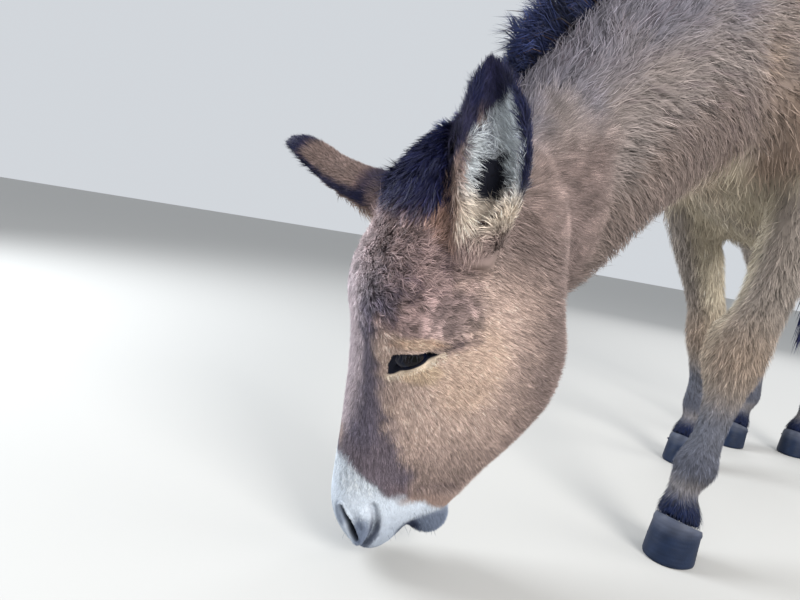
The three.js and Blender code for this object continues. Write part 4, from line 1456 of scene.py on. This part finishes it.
def ear_coat(side, layer, seed):
    """Tufts on one ear, either outside or in the cup."""
    mine = owners == "ear_" + side
    along, sideways, _, _, opening = ear_measures(points, side)
    place = ear_side(along, sideways, side)
    back = ear_back(along, place, (normals * opening).sum(1))
    region = mine * (along > -0.06) * (back if layer == "outer" else 1 - back)
    if layer == "inner":
        rim = np.abs(place)
        region = region * (0.02 + smoothstep(0.36, 0.56, rim) + smoothstep(0.40, 0.5, along)
                           + 0.6 * smoothstep(0.09, 0.03, along))
    count = EAR_HAIR[layer]
    roots, facing, _ = scatter(skin, region, count, seed)
    along, sideways, axis, across, _ = ear_measures(roots, side)
    place = ear_side(along, sideways, side)
    inward = -np.sign(sideways)[:, None] * across
    draw = np.random.default_rng(seed)
    if layer == "inner":
        lift = -0.25 + 0.8 * smoothstep(-0.4, 0.4, place) + 0.7 * smoothstep(0.40, 0.65, along)
        low = smoothstep(0.16, -0.05, along) * smoothstep(0.9, 0.2, place)
        lift = (lift - 1.4 * low)[:, None]
        flow = inward * 0.75 * smoothstep(0.1, 0.5, np.abs(place))[:, None] + axis * lift
        size = 23 - 8 * smoothstep(0.12, 0.24, along) * smoothstep(0.56, 0.46, along)
        size -= 7 * smoothstep(0.2, 0.6, place) * smoothstep(0.30, 0.20, along)
        size = (size - 13 * smoothstep(0.55, 0.80, along)) * MM * draw.uniform(0.7, 1.1, count)
        rise = size * 0.34
        wave = np.full(count, 0.30)
        width = np.full(count, 0.85 * MM)
    else:
        over = (smoothstep(0.6, 1.0, np.abs(place)) * smoothstep(0.97, 0.85, along))[:, None]
        flow = axis - inward * (0.35 + 0.35 * smoothstep(0.4, 0.7, along)[:, None]) * over
        size = 10 + 6 * smoothstep(0.3, 0.0, along) + 4 * smoothstep(0.5, 0.8, along)
        size = (size - 6 * smoothstep(0.88, 1.0, along)) * MM
        rise = size * (0.32 - 0.14 * smoothstep(0.88, 1.0, along))
        wave = np.full(count, 0.25)
        width = np.full(count, 1.1 * MM)
    tones = markings(roots, facing, np.full(count, "ear_" + side))
    column = (side == "right") * 2 + (layer == "inner")
    maps = np.stack([
        (column + 0.5 + sideways / 0.11) / 4, 0.03 + 0.9 * np.clip(along, 0, 1)], 1)
    piece = grow("ear_%s_%s" % (layer, side), roots, facing, flow, size, rise, wave, width,
                 tones, np.clip(maps, 0.01, 0.99), seed=seed, cling=0.4,
                 sections=2 if layer == "inner" else 1, clump_size=0.007)
    COAT_PIECES.append(piece)


for seed, (side, _) in enumerate(SIDES):
    ear_coat(side, "outer", 31 + seed)
    ear_coat(side, "inner", 33 + seed)

# %% [markdown]
# ## Mane, forelock and tail
# The mane is short, nearly black, and stands up along the crest in locks. Between the ears
# it turns into curly fuzz that falls over the forehead. The tail is thin with short hair
# and ends in a switch of long locks.

# %% Long hair
MANE_Y = [-0.76, -0.70, -0.63, -0.43, -0.30, -0.19, -0.07]
MANE_LENGTH = [0.020, 0.026, 0.048, 0.057, 0.053, 0.038, 0.022]
MANE_HALF = 0.012
MANE_LOCK = 0.028
MANE_STRETCH = 1.30
MANE_TUFTS = 12000
FORELOCK_TUFTS = 9000
SWITCH_TUFTS = 1300
SWITCH_TOP = 0.605
SWITCH_TIP = 0.30


def mane():
    x, y, z = points.T
    out = np.abs(x - midline(y) + 0.10 * np.clip(-0.64 - y, 0, 1))
    region = smoothstep(MANE_HALF, MANE_HALF * 0.6, out) * (normals[:, 2] > 0.15)
    region *= smoothstep(-0.05, -0.10, y) * (y > -0.765) * (z > 0.5)
    region *= np.isin(owners, ("neck", "trunk"))
    count = MANE_TUFTS
    roots, facing, _ = scatter(skin, region, count, 41)
    numbers = clumps(roots, MANE_LOCK, 41)[0]
    shared = np.stack([np.bincount(numbers, facing[:, k]) for k in range(3)], 1)
    facing = unit(unit(shared)[numbers] + 0.15 * facing)
    lock = np.random.default_rng(44).uniform(0.72, 1.25, numbers.max() + 1)[numbers]
    size = np.interp(roots[:, 1], MANE_Y, MANE_LENGTH) * MANE_STRETCH * lock
    flow = np.tile([0.1, -1.0, -0.6], (count, 1))
    brown = np.random.default_rng(41).random(count) < 0.06
    tones = np.tile(SHADE["mane"], (count, 1))
    tones[brown] = SHADE["rust"] * 0.14
    maps = unwrap(roots, (0.043, -0.76, 0.5), (0.043, -0.05, 1.0), 0, 1)
    # a strong painted highlight of sky light brightens the tips of the mane's locks
    return grow("mane_hair", roots, facing, flow, size, size * 0.76, np.full(count, 0.08),
                np.full(count, 1.5 * MM), tones, maps, sections=2, closed=True, cling=0.96,
                clump_size=MANE_LOCK, seed=41, shade=(0.55, 2.0), vary=0.30, patchy=0.25)


def forelock():
    region = smoothstep(54, 40, np.abs(left)) * smoothstep(72, 40, down) * (down > -75)
    region *= smoothstep(105, 75, depth) * np.isin(owners, ("head", "neck"))
    count = FORELOCK_TUFTS
    roots, facing, _ = scatter(skin, region, count, 42)
    down_of = head_coords(roots)[0]
    size = (35 - 17 * smoothstep(20, 70, down_of)) * MM
    flow = np.tile(np.array([0.5, -0.4, -0.7]) @ HEAD.T, (count, 1))
    tones = markings(roots, facing, np.full(count, "head"))
    tones = mix(tones, "dark", smoothstep(66, 30, down_of) * 0.85)
    maps = unwrap(roots, head_point(-80, 60, 0), head_point(80, 10, 0), 0, 1)
    return grow("forelock_hair", roots, facing, flow, size, size * 0.5, np.full(count, 0.35),
                np.full(count, 1.5 * MM), tones, maps, sections=2, cling=0.75,
                clump_size=0.012, seed=42, shade=(0.55, 1.5), vary=0.30)


def switch():
    count = SWITCH_TUFTS
    draw = np.random.default_rng(43)
    height = SWITCH_TOP - 0.20 * draw.random(count) ** 1.4
    turn = draw.uniform(0, 2 * np.pi, count)
    ring = 0.016 * np.sqrt(draw.random(count))
    facing = np.stack([np.cos(turn), np.sin(turn), np.zeros(count)], 1)
    middle = np.stack([
        np.interp(height, [0.40, 0.60], [-0.0425, -0.047]),
        np.interp(height, [0.40, 0.60], [0.799, 0.810]), height], 1)
    roots = middle + facing * ring[:, None]
    size = np.minimum(draw.uniform(0.13, 0.26, count), height - SWITCH_TIP)
    flow = np.tile([0.02, -0.05, -1.0], (count, 1))
    tones = np.tile(SHADE["dark"] * 1.2, (count, 1))
    maps = unwrap(roots, (-0.045, 0.81, 0.38), (-0.045, 0.81, 0.62), 0, 1)
    return grow("switch_hair", roots, facing, flow, size, size * 0.10, np.full(count, 0.10),
                np.full(count, 4.0 * MM), tones, maps, sections=4, cling=0.5,
                clump_size=0.012, seed=43, shade=(0.8, 1.2), spread=0.03)


LONG_HAIR = [mane(), forelock(), switch()]

# %% [markdown]
# ## Lashes and whiskers
# A few stiff hairs finish the face: lashes along the upper lid, sparse feelers round the
# lips, the chin and the nostrils.


# %% Stiff hairs
LASHES = 18
FEELERS = 36


def lashes(hand):
    """Roots and ways of the lashes on one upper lid."""
    draw = np.random.default_rng(51)
    upper = np.where((MARGIN[:, 0] < 1) & (MARGIN[:, 1] > -20) & (MARGIN[:, 1] < 24))[0]
    chosen = draw.choice(upper, LASHES)
    flat = MARGIN[chosen] + draw.normal(0, 0.4, (LASHES, 2))
    away = np.linalg.norm(flat, axis=1)
    height = np.sqrt(np.maximum((EYE_RADIUS + 1.6) ** 2 - away ** 2, 60))
    roots = np.array([
        head_point(EYE_AT[0] + a - 0.6, EYE_AT[1] + b, hand * (EYE_AT[2] + h))
        for (a, b), h in zip(flat, height)])
    outwards = np.column_stack([
        hand * np.full(LASHES, 0.8), 0.25 * np.sign(flat[:, 1]), -np.full(LASHES, 0.9)])
    return roots, outwards @ HEAD.T


def whiskers():
    """Feelers round the lips and lashes on both eyes, in one mesh."""
    region = near((down, depth, left), (452, 100, 20), (46, 60, 50))
    region = region + near((down, depth, left), (450, 20, 36), (40, 26, 22)) * 0.5
    region = region * (owners == "head") * (nostril > NOSTRIL_REACH + 3)
    roots, facing, _ = scatter(skin, region, FEELERS, 52)
    flow = np.tile(np.array([0.0, 0.3, -0.9]) @ HEAD.T, (FEELERS, 1))
    size = np.random.default_rng(52).uniform(0.008, 0.018, FEELERS)
    tones = np.tile(SHADE["nose"], (FEELERS, 1))
    rows = [(roots, facing, flow, size, size * 0.75, tones)]
    for _, hand in SIDES:
        lash, outwards = lashes(hand)
        facing = np.tile(HEAD @ np.array([hand, 0, 0]), (LASHES, 1))
        rows.append((lash, facing, outwards, np.full(LASHES, 0.009), np.full(LASHES, 0.003),
                     np.tile(SHADE["black"], (LASHES, 1))))
    roots, facing, flow, size, rise, tones = map(np.concatenate, zip(*rows))
    count = len(roots)
    maps = unwrap(roots, head_point(150, 80, 0), head_point(500, 80, 0), 0, 1)
    return grow("whiskers", roots, facing, flow, size, rise, np.full(count, 0.15),
                np.full(count, 0.45 * MM), tones, maps, sections=2, cling=0, seed=53)


LONG_HAIR.append(whiskers())

# %% [markdown]
# ## Eyes
# Each eye is a ball with a slightly raised cornea, almost black, with a dark iris and a
# lying oval pupil that only shows from close by. Its wet gloss does the rest.


# %% Eyes
def eye_ball(side, hand):
    """A fine ball whose pole looks out of the head."""
    bpy.ops.object.select_all(action="DESELECT")
    bpy.ops.mesh.primitive_uv_sphere_add(segments=72, ring_count=48, radius=1)
    ball = bpy.context.object
    ball.name = "eyeball_" + side
    local = coords_of(ball.data)
    off = np.hypot(local[:, 0], local[:, 1])
    front = local[:, 2] > 0
    bulge = 1 + 0.035 * smoothstep(0.62, 0.30, off) * front
    round_pupil = np.hypot(local[:, 0] / 0.17, local[:, 1] / 0.33)
    iris = SHADE["rust"] * 0.012 + SHADE["horn"] * 0.10
    tones = np.tile(iris, (len(local), 1))
    tones = mix(tones, "black", smoothstep(0.50, 0.60, off))
    tones *= (1 - 0.93 * (smoothstep(1.1, 0.9, round_pupil) * front))[:, None]
    radius = EYE_RADIUS * bulge * MM
    flat = np.column_stack([
        hand * local[:, 2] * radius, local[:, 1] * radius, -local[:, 0] * radius])
    centre = head_point(EYE_AT[0], EYE_AT[1], hand * EYE_AT[2])
    set_coords(ball.data, flat @ HEAD.T + centre)
    if hand < 0:
        ball.data.flip_normals()
    ball.data.shade_smooth()
    paint(ball.data, "coat", tones)
    return ball


EYES = {side: eye_ball(side, hand) for side, hand in SIDES}
print("eyes set")

# %% [markdown]
# ## Hooves
# A donkey's hoof is narrow and upright. Each one is lofted from rings that are longer
# towards the toe than the heel, with faint rings of growth, and ends at the coronet under
# the hair.

# %% Hooves
# height, shift back, half-width, toe, heel, all in mm
HOOF_HEIGHT = 69
HOOF_ROWS = [
    (0.0, -6, 36.0, 42, 31), (4.0, -6, 37.0, 43, 32), (26, -3, 36.0, 42, 31),
    (50, 1, 35, 40, 29), (HOOF_HEIGHT, 5, 33.5, 38, 28),
]
HOOVES = {
    "forehoof_left": (0.1618, -0.2812), "forehoof_right": (-0.0662, 0.2048),
    "hindhoof_left": (0.0108, 0.6888), "hindhoof_right": (-0.0952, 0.5368),
}
HOOF_STEPS = 36
HOOF_AROUND = 72
HOOF_SINK = 0.004  # metres that the top ring goes down under the hair


def hoof(name, x, y):
    """One hoof with growth rings, as a closed loft."""
    rows = np.array(HOOF_ROWS, float)
    heights = np.concatenate([[0, 0.8, 2], np.linspace(4, HOOF_HEIGHT, HOOF_STEPS)])
    turn = np.linspace(0, 2 * np.pi, HOOF_AROUND, endpoint=False)
    rings = []
    for k, height in enumerate(heights):
        back, half, toe, heel = [np.interp(height, rows[:, 0], rows[:, c]) for c in range(1, 5)]
        if k == 0:
            half, toe, heel = half - 1.2, toe - 1.2, heel - 1.2
        ripple = 0.07 * math.sin(height * 0.75) + 0.05 * math.sin(height * 1.7 + 1)
        ripple += 1.2 * smoothstep(52, 60, height) * smoothstep(70, 62, height)
        ripple *= smoothstep(3, 12, height)
        reach = np.where(np.sin(turn) < 0, toe, heel)
        side = np.cos(turn) * (half + ripple)
        fore = np.sin(turn) * (reach + ripple)
        drop = 1 - 0.2 * (1 + np.sin(turn)) * smoothstep(0, HOOF_HEIGHT, height)
        rings.append(np.stack([x + side * MM, y + (fore + back) * MM, height * drop * MM], 1))
    rings.append(rings[-1] - (0, 0, HOOF_SINK))
    rings[-1][:, :2] = (rings[-1][:, :2] - (x, y + 0.01)) * 0.9 + (x, y + 0.01)
    faces = grid_faces(len(rings), HOOF_AROUND, False)
    last = (len(rings) - 1) * HOOF_AROUND
    faces.append(list(range(HOOF_AROUND))[::-1])
    faces.append(list(range(last, last + HOOF_AROUND)))
    mesh = bpy.data.meshes.new("horn_" + name)
    places = np.concatenate(rings)
    mesh.from_pydata(places.tolist(), [], faces)
    mesh.update()
    rise = places[:, 2] / (HOOF_HEIGHT * MM)
    tones = mix(np.tile(SHADE["horn"], (len(places), 1)), "shank",
                smoothstep(0.55, 0.9, rise) * 0.45)
    growth = 0.06 * np.sin(places[:, 2] / MM * 1.1)
    tones *= (1 + growth + 0.12 * waves(places, 0.02, 61))[:, None]
    piece = add_object("horn_" + name, mesh)
    mesh.shade_smooth()
    paint(mesh, "coat", tones)
    return piece


HORN = {name: hoof(name, x, y) for name, (x, y) in HOOVES.items()}
print(len(HORN), "hooves made")

# %% [markdown]
# ## Materials
# Hair scatters light softly and has a little sheen at the edges. The skin under it gets a
# fine bump that runs like short hair, which carries the velvet of the muzzle, where tufts
# are tiny. Both take their colour from the painted markings.


# %% Materials
def hair_bump():
    """A group that gives the height of fine short hair at a size."""
    group = bpy.data.node_groups.new("hair_bump", "ShaderNodeTree")
    faces = group.interface
    faces.new_socket("Size", in_out="INPUT", socket_type="NodeSocketFloat")
    faces.new_socket("Height", in_out="OUTPUT", socket_type="NodeSocketFloat")
    enter = group.nodes.new("NodeGroupInput")
    leave = group.nodes.new("NodeGroupOutput")
    where = group.nodes.new("ShaderNodeTexCoord")
    noise = group.nodes.new("ShaderNodeTexNoise")
    noise.inputs["Detail"].default_value = 3
    group.links.new(where.outputs["Object"], noise.inputs["Vector"])
    group.links.new(enter.outputs["Size"], noise.inputs["Scale"])
    group.links.new(noise.outputs["Fac"], leave.inputs["Height"])
    return group


HAIR_BUMP = hair_bump()


def painted(name, roughness, sheen=0.0, bump=0.0, size=900.0, gloss=0.5):
    """A material that wears the painted colours."""
    material = bpy.data.materials.new(name)
    material.use_nodes = True
    nodes, links = material.node_tree.nodes, material.node_tree.links
    shader = nodes["Principled BSDF"]
    shader.inputs["Roughness"].default_value = roughness
    shader.inputs["Sheen Weight"].default_value = sheen
    shader.inputs["Sheen Roughness"].default_value = 0.5
    shader.inputs["Specular IOR Level"].default_value = gloss
    colour = nodes.new("ShaderNodeVertexColor")
    colour.layer_name = "coat"
    links.new(colour.outputs["Color"], shader.inputs["Base Color"])
    if bump:
        height = nodes.new("ShaderNodeGroup")
        height.node_tree = HAIR_BUMP
        height.inputs["Size"].default_value = size
        bumps = nodes.new("ShaderNodeBump")
        bumps.inputs["Strength"].default_value = bump
        bumps.inputs["Distance"].default_value = 0.001
        links.new(height.outputs["Height"], bumps.inputs["Height"])
        links.new(bumps.outputs["Normal"], shader.inputs["Normal"])
    return material


def dress(piece, material, slot, *nodes):
    """Gives a piece its material and its body, and hides the solids it stands for. The slot is
    not used.
    """
    piece.data.materials.clear()
    piece.data.materials.append(material)
    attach(piece, "root")
    if nodes:
        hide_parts(*nodes)


coat_look = painted("coat_look", 0.62, sheen=0.05, gloss=0.2)
dark_look = painted("dark_hair_look", 0.55, gloss=0.3)
skin_look = painted("skin_look", 0.70, bump=0.3, gloss=0.15)
eye_look = painted("eye_look", 0.05, gloss=0.12)
horn_look = painted("horn_look", 0.50, bump=0.25, size=300, gloss=0.2)

skin.data.shade_smooth()
dress(skin, skin_look, "coat", *FLESH)
for piece in COAT_PIECES:
    dress(piece, coat_look, "coat")
for piece, nodes in zip(LONG_HAIR, (["mane"], ["forelock"], ["tail_switch"], [])):
    dress(piece, dark_look, "dark_hair", *nodes)
for side, piece in EYES.items():
    dress(piece, eye_look, "eye", "eye_" + side)
for name, piece in HORN.items():
    dress(piece, horn_look, "horn", name)
print("everything dressed")

# %% [markdown]
# ## The size
# The finished animal should fill nearly the same box as the solids.

# %% Size and finish
bpy.context.view_layer.update()
